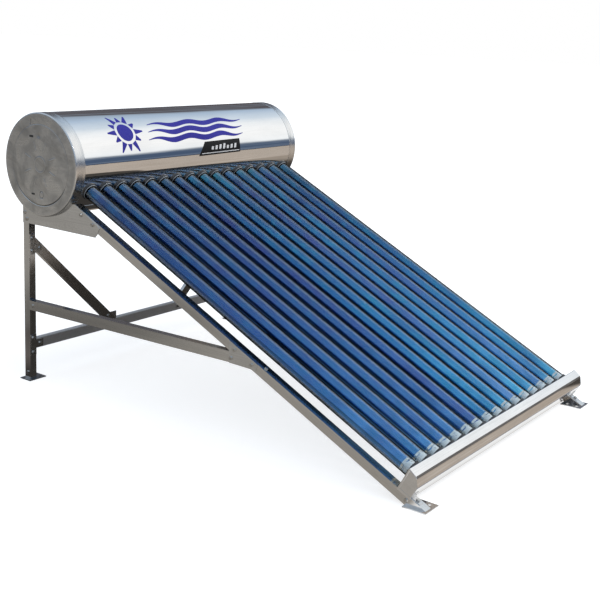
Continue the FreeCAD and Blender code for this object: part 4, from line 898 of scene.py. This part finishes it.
glass_me, inner_me, film_me, clip_me = vessel_outer(), vessel_inner(), film_mesh(), clip_mesh()
for me, key in ((glass_me, "glass"), (inner_me, "coating"), (film_me, "film"), (clip_me, "spring")):
    me.materials.append(M[key])
TINTS = {7: (1.25, 0.88, 0.95), 11: (1.28, 0.87, 0.95), 14: (1.2, 0.88, 0.95), 8: (0.92, 1.22, 1.10), 9: (0.92, 1.26, 1.12),
         10: (0.92, 1.22, 1.10), 12: (1.0, 1.20, 1.10), 13: (1.0, 1.20, 1.10), 15: (1.05, 1.12, 1.04), 16: (0.95, 1.18, 1.0)}
# painted light: how much brighter each right-hand tube's coating is coloured
PAINTED_SKY_LIGHT = {9: 0.45, 10: 0.8, 11: 1.0, 12: 1.0, 13: 1.0, 14: 1.0, 15: 0.65, 16: 0.45}
for i in range(COUNT):
    n = i + 1
    m = tube_matrix(FIRST_X + PITCH * i) @ Matrix.Rotation(math.radians(37 * n), 4, "Y")
    body = "tube_%02d" % n
    node = "evacuated_tube_%02d" % n
    link(glass_me, body + "_glass", None, m, body, (node,), sharp=40)
    ob = link(inner_me, body + "_absorber", None, m, body, sharp=40)
    tint = TINTS.get(n, (1.08, 0.94, 0.95))
    jit = 1 + 0.08 * (random.random() - 0.5)
    lift = PAINTED_SKY_LIGHT.get(n, 0.0)                                                  # painted light: the right-hand tubes are coloured brighter, for the bright sky they face
    ob.color = (tint[0] * jit * (1 + 0.44 * lift), tint[1] * jit * (1 + 0.40 * lift), tint[2] * jit * (1 + 0.20 * lift), 1)
    link(film_me, body + "_getter_mirror", None, m, body, sharp=40)
    link(clip_me, body + "_getter_clip", None, m, body, sharp=30)


# ------------------------------------------------------------------ dust rings, one moulded boot a tube
def dust_rings():
    bm = bmesh.new()
    for i in range(COUNT):
        cx = FIRST_X + PITCH * i
        prof = [(0.02912, -0.1985), (0.02912, -0.2090), (0.0294, -0.2101), (0.0302, -0.2106), (0.0311, -0.2102), (0.0316, -0.2091),
                (0.0317, -0.2076), (0.0322, -0.2069), (0.0334, -0.2068), (0.0345, -0.2064), (0.0352, -0.2055), (0.0355, -0.2043),
                (0.0356, -0.2030), (0.0358, -0.2018), (0.0358, -0.1985)]

        def warp(r, a, ang):
            # the foot follows the drum
            n_ = math.cos(ang) * r
            base = -math.sqrt(SHELL_R ** 2 - n_ ** 2)
            if a > -0.2000:
                return r, base + 0.0002
            if a > -0.2045:
                return r, min(a, base - 0.0006 - (-0.2000 - a) * 0.5)
            return r, a

        lathe_bm(bm, prof, 56, centre=(cx, 0, 0), warp=warp)
    me = mesh_from(bm, "dust_rings")
    me.materials.append(M["dust_rubber"])
    me.materials.append(M["dust_lip"])
    for poly in me.polygons:
        if poly.center.y < -0.2080:
            poly.material_index = 1
    link(me, "dust_ring_boots", None, tube_matrix(0.0), "root", ("dust_rings",), sharp=48)


dust_rings()


# ------------------------------------------------------------------ printed graphics, generic shapes only
def decal(name, polys, mat, lift=0.00016, step_a=0.006):
    """Thin vinyl shapes in (x, arc length) wrapped on the drum."""
    bm = bmesh.new()
    for poly in polys:
        vs = [bm.verts.new((x, a, 0)) for x, a in poly]
        bm.faces.new(vs)
    bmesh.ops.remove_doubles(bm, verts=bm.verts, dist=1e-6)
    a_min = min(a for p in polys for _, a in p)
    a_max = max(a for p in polys for _, a in p)
    a = a_min + step_a
    while a < a_max:
        geom = bm.verts[:] + bm.edges[:] + bm.faces[:]
        bmesh.ops.bisect_plane(bm, geom=geom, plane_co=(0, a, 0), plane_no=(0, 1, 0), dist=1e-7)
        a += step_a
    bmesh.ops.triangulate(bm, faces=bm.faces[:])
    base = SHELL_R - 0.0001
    top = SHELL_R + lift
    ext = bmesh.ops.extrude_face_region(bm, geom=bm.faces[:])
    up = {v for v in ext["geom"] if isinstance(v, bmesh.types.BMVert)}
    for v in bm.verts:
        phi = v.co.y / SHELL_R
        rad = top if v in up else base
        x = v.co.x
        v.co = Vector((x, AXIS_Y - rad * math.cos(phi), AXIS_Z + rad * math.sin(phi)))
    me = mesh_from(bm, name)
    me.materials.append(mat)
    ob = link(me, name, None, sharp=40)
    return ob


def slanted(x0, x1, a0, a1, slope=0.42):
    k0, k1 = a0 * slope, a1 * slope
    return [(x0 + k0, a0), (x1 + k0, a0), (x1 + k1, a1), (x0 + k1, a1)]


polys = []
SX, SA = -0.405, 0.138
disc = [(SX + 0.040 * math.cos(2 * math.pi * k / 40), SA + 0.040 * math.sin(2 * math.pi * k / 40)) for k in range(40)]
polys.append(disc)
for k in range(12):
    a = 2 * math.pi * k / 12
    ln = 0.098 if k % 2 == 0 else 0.080
    p, q = 0.052, 0.016
    ca, sa = math.cos(a), math.sin(a)
    polys.append([(SX + ca * p - sa * q * 0.8, SA + sa * p + ca * q * 0.8), (SX + ca * p + sa * q * 0.8, SA + sa * p - ca * q * 0.8),
                  (SX + ca * ln + sa * 0.003, SA + sa * ln - ca * 0.003), (SX + ca * ln - sa * 0.003, SA + sa * ln + ca * 0.003)])
for row, (mid, x0, x1) in enumerate(((0.166, -0.262, 0.352), (0.131, -0.276, 0.338), (0.096, -0.290, 0.324))):
    NW = 72
    strip = []
    for k in range(NW + 1):
        x = x0 + (x1 - x0) * k / NW
        ph = 2 * math.pi * (x - x0) / 0.205
        swell = 0.0068 * math.sin(ph)
        thick = 0.0125 * min(1.0, 0.12 + 3.2 * (k / NW), 0.12 + 3.2 * (1 - k / NW))
        strip.append((x, mid + swell - thick, mid + swell + thick))
    for (xa, la, ha), (xb, lb, hb) in zip(strip[:-1], strip[1:]):
        polys.append([(xa + 0.42 * (la - mid), la), (xb + 0.42 * (lb - mid), lb), (xb + 0.42 * (hb - mid), hb), (xa + 0.42 * (ha - mid), ha)])
decal("graphic_sun_and_waves", polys, M["blue_ink"])
decal("graphic_dark_label", [[(0.000, 0.009), (0.284, 0.012), (0.288, 0.072), (0.048, 0.069)]], M["black_ink"])
bars = [[(0.020, 0.0165), (0.276, 0.0190), (0.276, 0.0225), (0.022, 0.0200)]]
for k in range(7):
    x0 = 0.085 + 0.026 * k
    h = 0.014 + 0.003 * (k % 4)
    bars.append([(x0, 0.032), (x0 + 0.014, 0.032), (x0 + 0.014 + h * 0.35, 0.032 + h), (x0 + h * 0.35, 0.032 + h)])
decal("graphic_label_marks", bars, M["white_ink"], lift=0.00030)


# ------------------------------------------------------------------ tail stock: one folded sheet with rounded bends
def filleted(points, radii, steps=6):
    """Rounds the inner corners of an open polyline."""
    out = [Vector(points[0])]
    for i in range(1, len(points) - 1):
        p, c, q = Vector(points[i - 1]), Vector(points[i]), Vector(points[i + 1])
        r = radii[i]
        u, w = (p - c).normalized(), (q - c).normalized()
        half = math.acos(max(-1, min(1, u.dot(w)))) / 2
        if r <= 0:
            out.append(c)
            continue
        d = r / math.tan(half)
        a, b = c + u * d, c + w * d
        centre = c + (u + w).normalized() * (r / math.sin(half))
        va, vb = a - centre, b - centre
        ang = math.acos(max(-1, min(1, va.dot(vb) / (va.length * vb.length))))
        n = max(2, int(steps * ang / 1.0) + 2)
        for k in range(n + 1):
            t_ = k / n
            v = (va * math.sin((1 - t_) * ang) + vb * math.sin(t_ * ang)) / math.sin(ang)
            out.append(centre + v)
    out.append(Vector(points[-1]))
    return out


TAIL = [(1.894, -0.045), (1.882, -0.045), (1.882, 0.047), (1.91587, 0.03968), (1.92205, 0.03449), (1.9396, 0.0094), (1.9376, 0.0080), (1.93985, 0.0062), (1.937, -0.045), (1.909, -0.045)]
TAIL_R = [0, 0.002, 0.0025, 0.003, 0.003, 0.0009, 0.0004, 0.0009, 0.0025, 0]


def tail_stock():
    end = HALF - 0.0125 - 0.0016
    m = tube_matrix(0.0)
    line = filleted(TAIL, TAIL_R, 9)
    H = 0.043                                                         # the back wall is flat between -H and H
    # hole cells: rays from the hole centre to the cell's border
    angs = [i * 11.25 for i in range(32)]
    hw = PITCH / 2
    border = []
    for dg in angs:
        a = math.radians(dg)
        ca, sa = math.cos(a), math.sin(a)                             # ca along n, sa along x
        if abs(dg % 90 - 45) < 1:
            border.append((math.copysign(hw, sa), math.copysign(H, ca)))
        elif abs(ca) * hw > abs(sa) * H:
            border.append((sa / abs(ca) * H, math.copysign(H, ca)))
        else:
            border.append((math.copysign(hw, sa), ca / abs(sa) * hw))
    edge_x = sorted({round(x, 7) for x, n_ in border if abs(abs(n_) - H) < 1e-9})
    cols = [-end]
    for i in range(COUNT):
        cols += [FIRST_X + PITCH * i + e for e in edge_x]
    cols.append(end)
    xs = []
    for c in cols:
        if not xs or c - xs[-1] > 1e-5:
            xs.append(c)
    bm = bmesh.new()
    # rows of the section; the wall between -H and H is left out and filled by the hole cells
    pts = []
    for p in line:
        pts.append((p.x, p.y))
    i_wall = max(k for k, p in enumerate(pts) if abs(p[0] - 1.882) < 1e-6 and p[1] < 0)
    lower, upper = pts[:i_wall + 1] + [(1.882, -H)], [(1.882, H)] + pts[i_wall + 1:]
    for chain in (lower, upper):
        rows = [[bm.verts.new((x, -s_, n_)) for x in xs] for s_, n_ in chain]
        for ra, rb in zip(rows[:-1], rows[1:]):
            for k in range(len(xs) - 1):
                bm.faces.new((ra[k], ra[k + 1], rb[k + 1], rb[k]))
    for i in range(COUNT):
        cx = FIRST_X + PITCH * i
        ring = [bm.verts.new((cx + 0.0330 * math.sin(math.radians(d)), -1.882, 0.0330 * math.cos(math.radians(d)))) for d in angs]
        outer = [bm.verts.new((cx + x, -1.882, n_)) for x, n_ in border]
        for k in range(32):
            k2 = (k + 1) % 32
            bm.faces.new((ring[k], ring[k2], outer[k2], outer[k]))
    for a, b in ((-end, FIRST_X - hw), (FIRST_X + PITCH * (COUNT - 1) + hw, end)):
        ns = sorted({round(n_, 7) for x, n_ in border if abs(abs(x) - hw) < 1e-9})
        for n0, n1 in zip(ns[:-1], ns[1:]):
            bm.faces.new([bm.verts.new((x, -1.882, n_)) for x, n_ in ((a, n0), (b, n0), (b, n1), (a, n1))])
    bmesh.ops.remove_doubles(bm, verts=bm.verts, dist=2e-6)
    bmesh.ops.recalc_face_normals(bm, faces=bm.faces)
    # normals out of the section
    c = Vector((0, -1.91, 0))
    score = sum((f.calc_center_median() - Vector((f.calc_center_median().x, c.y, 0))).dot(f.normal) * f.calc_area() for f in bm.faces)
    if score < 0:
        bmesh.ops.reverse_faces(bm, faces=bm.faces)
    gauge = 0.0010
    for attempt in (gauge, -gauge):
        b2 = bm.copy()
        bmesh.ops.solidify(b2, geom=b2.faces[:], thickness=attempt)
        if max(v.co.z for v in b2.verts) < 0.04705:
            break
        b2.free()
    bm.free()
    bm = b2
    bmesh.ops.recalc_face_normals(bm, faces=bm.faces)
    me = bpy.data.meshes.new("tail_stock")
    bm.to_mesh(me)
    bm.free()
    me.materials.append(M["tail"])
    me.materials.append(M["fold"])
    # painted shade: the brow's bend facet takes the dark fold material
    for p in me.polygons:
        if 1.9154 < -p.center.y < 1.9224 and 0.0342 < p.center.z < 0.0402 and p.normal.y < -0.2:
            p.material_index = 1
    ob = link(me, "tail_folded_sheet", None, m, replaces=("tail_stock",), sharp=40)
    # end plates with a rolled edge and one pressed line
    shape = [p for p in filleted(TAIL[1:9], TAIL_R[1:9], 9)]
    for side in (-1, 1):
        tag = "left" if side < 0 else "right"
        bm = bmesh.new()
        face = HALF - 0.0125
        centre = sum(shape, Vector((0, 0))) / len(shape)
        prev = None
        for depth, shrink in ((0.0105, 0.0014), (0.0015, 0.0014), (0.0015, 0.0), (0.0004, 0.0), (0.0, 0.0004)):
            ring = []
            for p in shape:
                d = (centre - p)
                q = p + d.normalized() * shrink
                ring.append(bm.verts.new((side * (face - depth), -q.x, q.y)))
            if prev is not None:
                for k in range(len(shape)):
                    k2 = (k + 1) % len(shape)
                    bm.faces.new((prev[k], prev[k2], ring[k2], ring[k]))
            prev = ring
        # outer face, rows towards the middle with a pressed line
        for f_, dep in ((0.10, 0.0), (0.135, 0.0), (0.155, 0.0005), (0.175, 0.0), (0.45, 0.0)):
            ring = []
            for p in shape:
                q = p.lerp(centre, f_)
                ring.append(bm.verts.new((side * (face - dep), -q.x, q.y)))
            for k in range(len(shape)):
                k2 = (k + 1) % len(shape)
                bm.faces.new((prev[k], prev[k2], ring[k2], ring[k]))
            prev = ring
        bm.faces.new(prev)
        # inside: the flange's inner wall and the back of the plate
        first = None
        inner = []
        for depth, shrink in ((0.0105, 0.0026), (0.0027, 0.0026)):
            ring = []
            for p in shape:
                q = p + (centre - p).normalized() * shrink
                ring.append(bm.verts.new((side * (face - depth), -q.x, q.y)))
            inner.append(ring)
        bm.verts.ensure_lookup_table()
        start = [v for v in bm.verts][:len(shape)]
        for k in range(len(shape)):
            k2 = (k + 1) % len(shape)
            bm.faces.new((start[k], start[k2], inner[0][k2], inner[0][k]))
            bm.faces.new((inner[0][k], inner[0][k2], inner[1][k2], inner[1][k]))
        bm.faces.new(inner[1])
        me = mesh_from(bm, "tail_plate_" + tag)
        me.materials.append(M["tail"])
        link(me, "tail_plate_" + tag, None, m, replaces=("tail_cap_" + tag,), sharp=35)


tail_stock()


# ------------------------------------------------------------------ threads on the water stubs
def thread_stub(name, x, z, r, y0, y1, pitch, node):
    """A pipe thread cut on the stub's end, drawn over the CAD stub's plain end."""
    SEG, PER = 56, 8
    rows = int((y1 - y0) / pitch * PER)
    bm = bmesh.new()
    grid = []
    for j in range(rows + 1):
        y = y0 + (y1 - y0) * j / rows
        fade = step(y, y0, y0 + pitch) * (1 - step(y, y1 - pitch * 0.9, y1))
        ring = []
        for k in range(SEG):
            a = 2 * math.pi * k / SEG
            ph = ((y - y0) / pitch - k / SEG) % 1.0
            tri = abs(2 * ph - 1)
            rr = r - 0.00002 - 0.0009 * tri * fade - 0.0007 * (1 - fade) * (1 if y > (y0 + y1) / 2 else 0)
            ring.append(bm.verts.new((x + rr * math.cos(a), y, z + rr * math.sin(a))))
        grid.append(ring)
    for j in range(rows):
        for k in range(SEG):
            k2 = (k + 1) % SEG
            bm.faces.new((grid[j][k], grid[j][k2], grid[j + 1][k2], grid[j + 1][k]))
    return bm, grid


for node, x, zc, r in (("cold_inlet_stub", None, None, 0.0132), ("hot_outlet_stub", None, None, 0.0132), ("vent_stub", None, None, 0.0104)):
    lo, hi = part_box(node)
    cx = (lo.x + hi.x) / 2
    cz = hi.z - r if node == "vent_stub" else (lo.z + hi.z) / 2
    cz = (lo.z + hi.z) / 2
    y1 = hi.y
    y0 = y1 - 0.024
    bm, grid = thread_stub(node, cx, cz, r, y0, y1 - 0.0001, 0.001814, node)
    bore = r - 0.0030
    outer_end = grid[-1]
    ring1, ring2 = [], []
    SEG = len(outer_end)
    for k in range(SEG):
        a = 2 * math.pi * k / SEG
        ring1.append(bm.verts.new((cx + bore * math.cos(a), y1 - 0.0001, cz + bore * math.sin(a))))
        ring2.append(bm.verts.new((cx + bore * math.cos(a), y0 - 0.002, cz + bore * math.sin(a))))
    r0 = []
    for k in range(SEG):
        a = 2 * math.pi * k / SEG
        r0.append(bm.verts.new((cx + (r - 0.0012) * math.cos(a), y0 - 0.002, cz + (r - 0.0012) * math.sin(a))))
    for k in range(SEG):
        k2 = (k + 1) % SEG
        bm.faces.new((outer_end[k], outer_end[k2], ring1[k2], ring1[k]))
        bm.faces.new((ring1[k], ring1[k2], ring2[k2], ring2[k]))
        bm.faces.new((ring2[k], ring2[k2], r0[k2], r0[k]))
        bm.faces.new((r0[k], r0[k2], grid[0][k2], grid[0][k]))
    me = mesh_from(bm, node + "_thread")
    me.materials.append(M["zinc"])
    # the thread is a sleeve just outside the CAD stub's own end, so the CAD stub stays as the pipe
    link(me, node + "_thread", None, sharp=30)


# ------------------------------------------------------------------ stage, light, camera
def stage():
    bm = bmesh.new()
    rings = [0.0, 3.0, 8.0, 20.0, 60.0]
    prev = None
    c = bm.verts.new((0, 0, 0))
    for r in rings[1:]:
        ring = [bm.verts.new((r * math.cos(2 * math.pi * k / 64), r * math.sin(2 * math.pi * k / 64), 0)) for k in range(64)]
        for k in range(64):
            k2 = (k + 1) % 64
            if prev is None:
                bm.faces.new((c, ring[k], ring[k2]))
            else:
                bm.faces.new((prev[k], ring[k], ring[k2], prev[k2]))
        prev = ring
    me = mesh_from(bm, "studio_floor")
    t = Tree("studio_floor_pale")
    o = t.coord()
    cl = t.noise(o, 3.0, 4.0, 0.6)
    t.set(base=t.mix(t.fit(cl, 0.3, 0.7), (0.62, 0.62, 0.62), (0.59, 0.59, 0.595)), rough=0.9, spec=0.0,
          emit=(1.0, 1.0, 1.0), emit_s=0.70)
    me.materials.append(t.mat)
    ob = bpy.data.objects.new("studio_floor", me)
    bpy.context.scene.collection.objects.link(ob)
    ob.visible_glossy = False
    ob.visible_diffuse = False
    ob.visible_shadow = False
    ob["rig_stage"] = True
    # what bare metal mirrors below the horizon: a glowing card of ground tones with painted shadows and painted light
    # strips, hidden from the camera, seen by reflections and bounce light
    me2 = me.copy()
    me2.name = "ground_tones"
    me2.materials.clear()
    t = Tree("ground_tones", shader=False)
    o = t.coord()
    x, y, z = t.split(o)
    side = t.fit(x, -1.6, 1.4, 0.0, 1.0, smooth=True)
    c = t.mix(side, (0.365, 0.350, 0.325), (0.375, 0.315, 0.260))
    c = t.mix(t.fit(t.noise(o, 2.2, 4.0, 0.6), 0.3, 0.7, 0.0, 0.30), c, (0.23, 0.205, 0.18))
    # painted shadow: a dark footprint under and beside the frame
    ex = t.math("DIVIDE", t.math("SUBTRACT", x, 1.00), 2.40)
    ey = t.math("DIVIDE", t.math("SUBTRACT", y, 0.42), 1.34)
    rr = t.math("SQRT", t.math("ADD", t.math("MULTIPLY", ex, ex), t.math("MULTIPLY", ey, ey)))
    soft = t.fit(rr, 0.62, 1.02, 0.92, 0.0, smooth=True)
    crisp = t.math("MULTIPLY", t.fit(rr, 0.84, 1.00, 0.92, 0.0, smooth=True), t.fit(x, 1.10, 1.32, 1.0, 0.0, smooth=True))
    c = t.mix(t.math("MAXIMUM", soft, crisp), c, (0.012, 0.012, 0.012))
    # painted shadow: a dark patch to the back left
    bx = t.math("ADD", x, 1.55)
    by = t.math("SUBTRACT", y, 1.50)
    br = t.math("SQRT", t.math("ADD", t.math("MULTIPLY", bx, bx), t.math("MULTIPLY", by, by)))
    c = t.mix(t.fit(br, 0.25, 1.05, 0.60, 0.0, smooth=True), c, (0.06, 0.058, 0.056))
    # painted light: lighter streaked ground in front, put there for the light streaks the tail's front face reflects
    near = t.noise(t.mapped(o, scale=(0.9, 30, 1)), 1.0, 3.0, 0.55)
    front = t.mix(t.fit(near, 0.36, 0.64), (0.40, 0.335, 0.275), (0.62, 0.55, 0.485))
    c = t.mix(t.fit(y, -1.00, -1.06, 0.0, 0.78, smooth=True), c, front)
    # painted shadow: a dark patch to the front right
    px = t.math("SUBTRACT", x, 1.42)
    py = t.math("ADD", y, 1.34)
    pu = t.math("DIVIDE", t.math("SUBTRACT", t.math("MULTIPLY", px, 0.72), t.math("MULTIPLY", py, 0.694)), 0.70)
    pv = t.math("DIVIDE", t.math("ADD", t.math("MULTIPLY", px, 0.694), t.math("MULTIPLY", py, 0.72)), 0.36)
    pr = t.math("SQRT", t.math("ADD", t.math("MULTIPLY", pu, pu), t.math("MULTIPLY", pv, pv)))
    far = t.math("MULTIPLY", t.fit(pr, 0.78, 1.0, 0.90, 0.0, smooth=True), t.fit(x, 1.02, 1.14, 0.0, 1.0, smooth=True))
    c = t.mix(far, c, (0.020, 0.019, 0.018))
    # painted shadow: a dark patch behind the left leg
    lx = t.math("ADD", x, 1.00)
    ly = t.math("SUBTRACT", y, 1.26)
    lr = t.math("SQRT", t.math("ADD", t.math("MULTIPLY", lx, lx), t.math("MULTIPLY", ly, ly)))
    c = t.mix(t.fit(lr, 0.20, 0.48, 0.62, 0.0, smooth=True), c, (0.062, 0.052, 0.050))
    # painted light: a bright strip that the tail's lower lip reflects
    painted_light_strip = t.math("MULTIPLY", t.fit(y, -1.045, -1.015, 0.0, 1.0, smooth=True), t.fit(y, -0.90, -0.94, 0.0, 1.0, smooth=True))
    painted_light_strip = t.math("MULTIPLY", painted_light_strip, t.fit(x, 0.90, 1.00, 1.0, 0.0, smooth=True))
    c = t.mix(t.math("MULTIPLY", painted_light_strip, 0.95), c, (0.95, 0.955, 0.96))
    em = t.node("Emission")
    t.put(em.inputs[0], c)
    t.nt.links.new(em.outputs[0], t.out.inputs[0])
    t.mat.cycles.emission_sampling = "NONE"
    me2.materials.append(t.mat)
    card = bpy.data.objects.new("ground_tones", me2)
    bpy.context.scene.collection.objects.link(card)
    card.location.z = -0.004
    card.visible_camera = False
    card.visible_shadow = False
    card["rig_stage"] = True


stage()


class WorldTree(Tree):
    def __init__(self, name):
        self.world = bpy.data.worlds.new(name)
        bpy.context.scene.world = self.world
        self.world.use_nodes = True
        self.nt = self.world.node_tree
        self.nt.nodes.clear()
        self.out = self.nt.nodes.new("ShaderNodeOutputWorld")
        self.bsdf = None


def world():
    """Pale backdrop for the camera; soft graded surroundings for light and reflections."""
    t = WorldTree("soft_studio")
    v = t.coord("Generated")
    x, y, z = t.split(v)
    elev = t.math("MULTIPLY", t.math("ARCSINE", z), 180 / math.pi)
    d = t.node("VectorMath", operation="DOT_PRODUCT")
    t.put(d.inputs[0], v)
    d.inputs[1].default_value = (0.682, -0.533, 0.500)
    near = t.fit(d.outputs["Value"], -1.0, 1.0)
    sky = t.ramp(near, [(0.0, (0.30, 0.345, 0.39)), (0.50, (0.30, 0.355, 0.41)), (0.66, (0.30, 0.37, 0.46)), (0.755, (0.33, 0.41, 0.51)),
                        (0.835, (0.45, 0.565, 0.71)), (0.93, (0.68, 0.77, 0.86)), (0.965, (0.92, 0.955, 0.98)), (1.0, (1.05, 1.05, 1.04))])
    sky = t.mix(t.fit(x, 0.62, 0.30, 0.0, 1.0, smooth=True), sky, (0.47, 0.55, 0.65))
    flat = t.node("CombineXYZ")
    t.put(flat.inputs[0], x)
    t.put(flat.inputs[1], y)
    nrm = t.node("VectorMath", operation="NORMALIZE")
    t.put(nrm.inputs[0], flat.outputs[0])
    dh = t.node("VectorMath", operation="DOT_PRODUCT")
    t.put(dh.inputs[0], nrm.outputs[0])
    dh.inputs[1].default_value = (0.743, 0.669, 0)
    rear = t.fit(dh.outputs["Value"], 0.72, 0.96, 0.0, 1.0, smooth=True)
    n1 = t.noise(v, 5.0, 4.0, 0.6)
    n2 = t.noise(t.mapped(v, scale=(3, 3, 22)), 1.0, 4.0, 0.6)
    top = t.math("ADD", t.fit(rear, 0.0, 1.0, 9.0, 31.0), t.fit(n1, 0.25, 0.75, -2.6, 2.6))
    above = t.math("SUBTRACT", elev, top)
    mask = t.fit(above, -1.5, 4.0, 1.0, 0.0, smooth=True)
    band = t.mix(rear, (0.070, 0.105, 0.175), (0.085, 0.075, 0.080))
    band = t.mix(t.fit(n2, 0.48, 0.66, 0.0, 0.70), band, (0.26, 0.31, 0.38))
    c = t.mix(mask, sky, band)
    c = t.mix(t.fit(z, -0.012, -0.002, 1.0, 0.0), c, (0.0, 0.0, 0.0))
    bg = t.node("Background")
    t.put(bg.inputs[0], c)
    cam_bg = t.node("Background")
    cam_bg.inputs[0].default_value = (1, 1, 1, 1)
    lp = t.node("LightPath")
    mx = t.node("MixShader")
    t.put(mx.inputs[0], lp.outputs["Is Camera Ray"])
    t.nt.links.new(bg.outputs[0], mx.inputs[1])
    t.nt.links.new(cam_bg.outputs[0], mx.inputs[2])
    t.nt.links.new(mx.outputs[0], t.out.inputs[0])


world()


def soft_sun(name, az, elev, angle, energy, colour):
    li = bpy.data.lights.new(name, "SUN")
    li.angle = math.radians(angle)
    li.energy = energy
    li.color = colour
    ob = bpy.data.objects.new(name, li)
    bpy.context.scene.collection.objects.link(ob)
    a, e = math.radians(az), math.radians(elev)
    d = Vector((math.cos(e) * math.cos(a), math.cos(e) * math.sin(a), math.sin(e)))
    ob.rotation_euler = d.to_track_quat("Z", "Y").to_euler()
    ob.location = d * 6
    ob.visible_glossy = False
    return ob


soft_sun("key_soft", -48, 52, 40, 1.25, (1.0, 0.985, 0.96))
soft_sun("fill_soft", -140, 55, 60, 0.55, (0.97, 0.985, 1.0))
soft_sun("glint", -75, 39, 2.0, 0.045, (1.0, 0.99, 0.97)).visible_glossy = True

yaw, pitch, roll = math.radians(-55.221), math.radians(14.453), math.radians(-3.09)
back = Vector((math.sin(yaw) * math.cos(pitch), -math.cos(yaw) * math.cos(pitch), math.sin(pitch)))
fwd = -back
right = fwd.cross(Vector((0, 0, 1))).normalized()
down = fwd.cross(right)
r2 = right * math.cos(roll) + down * math.sin(roll)
d2 = -right * math.sin(roll) + down * math.cos(roll)
cm = Matrix.Identity(4)
for r in range(3):
    cm[r][0], cm[r][1], cm[r][2] = r2[r], -d2[r], -fwd[r]
cm.translation = Vector((-3.53615, -2.43254, 1.49563))
cam_data = bpy.data.cameras.new("camera")
cam_data.sensor_width = 36.0
cam_data.lens = 1072.678 * 36.0 / 600.0
cam_data.clip_start, cam_data.clip_end = 0.05, 200.0
cam = bpy.data.objects.new("camera", cam_data)
bpy.context.scene.collection.objects.link(cam)
cam.matrix_world = cm
bpy.context.scene.camera = cam
bpy.context.scene.view_settings.view_transform = "Standard"

lo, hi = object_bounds()
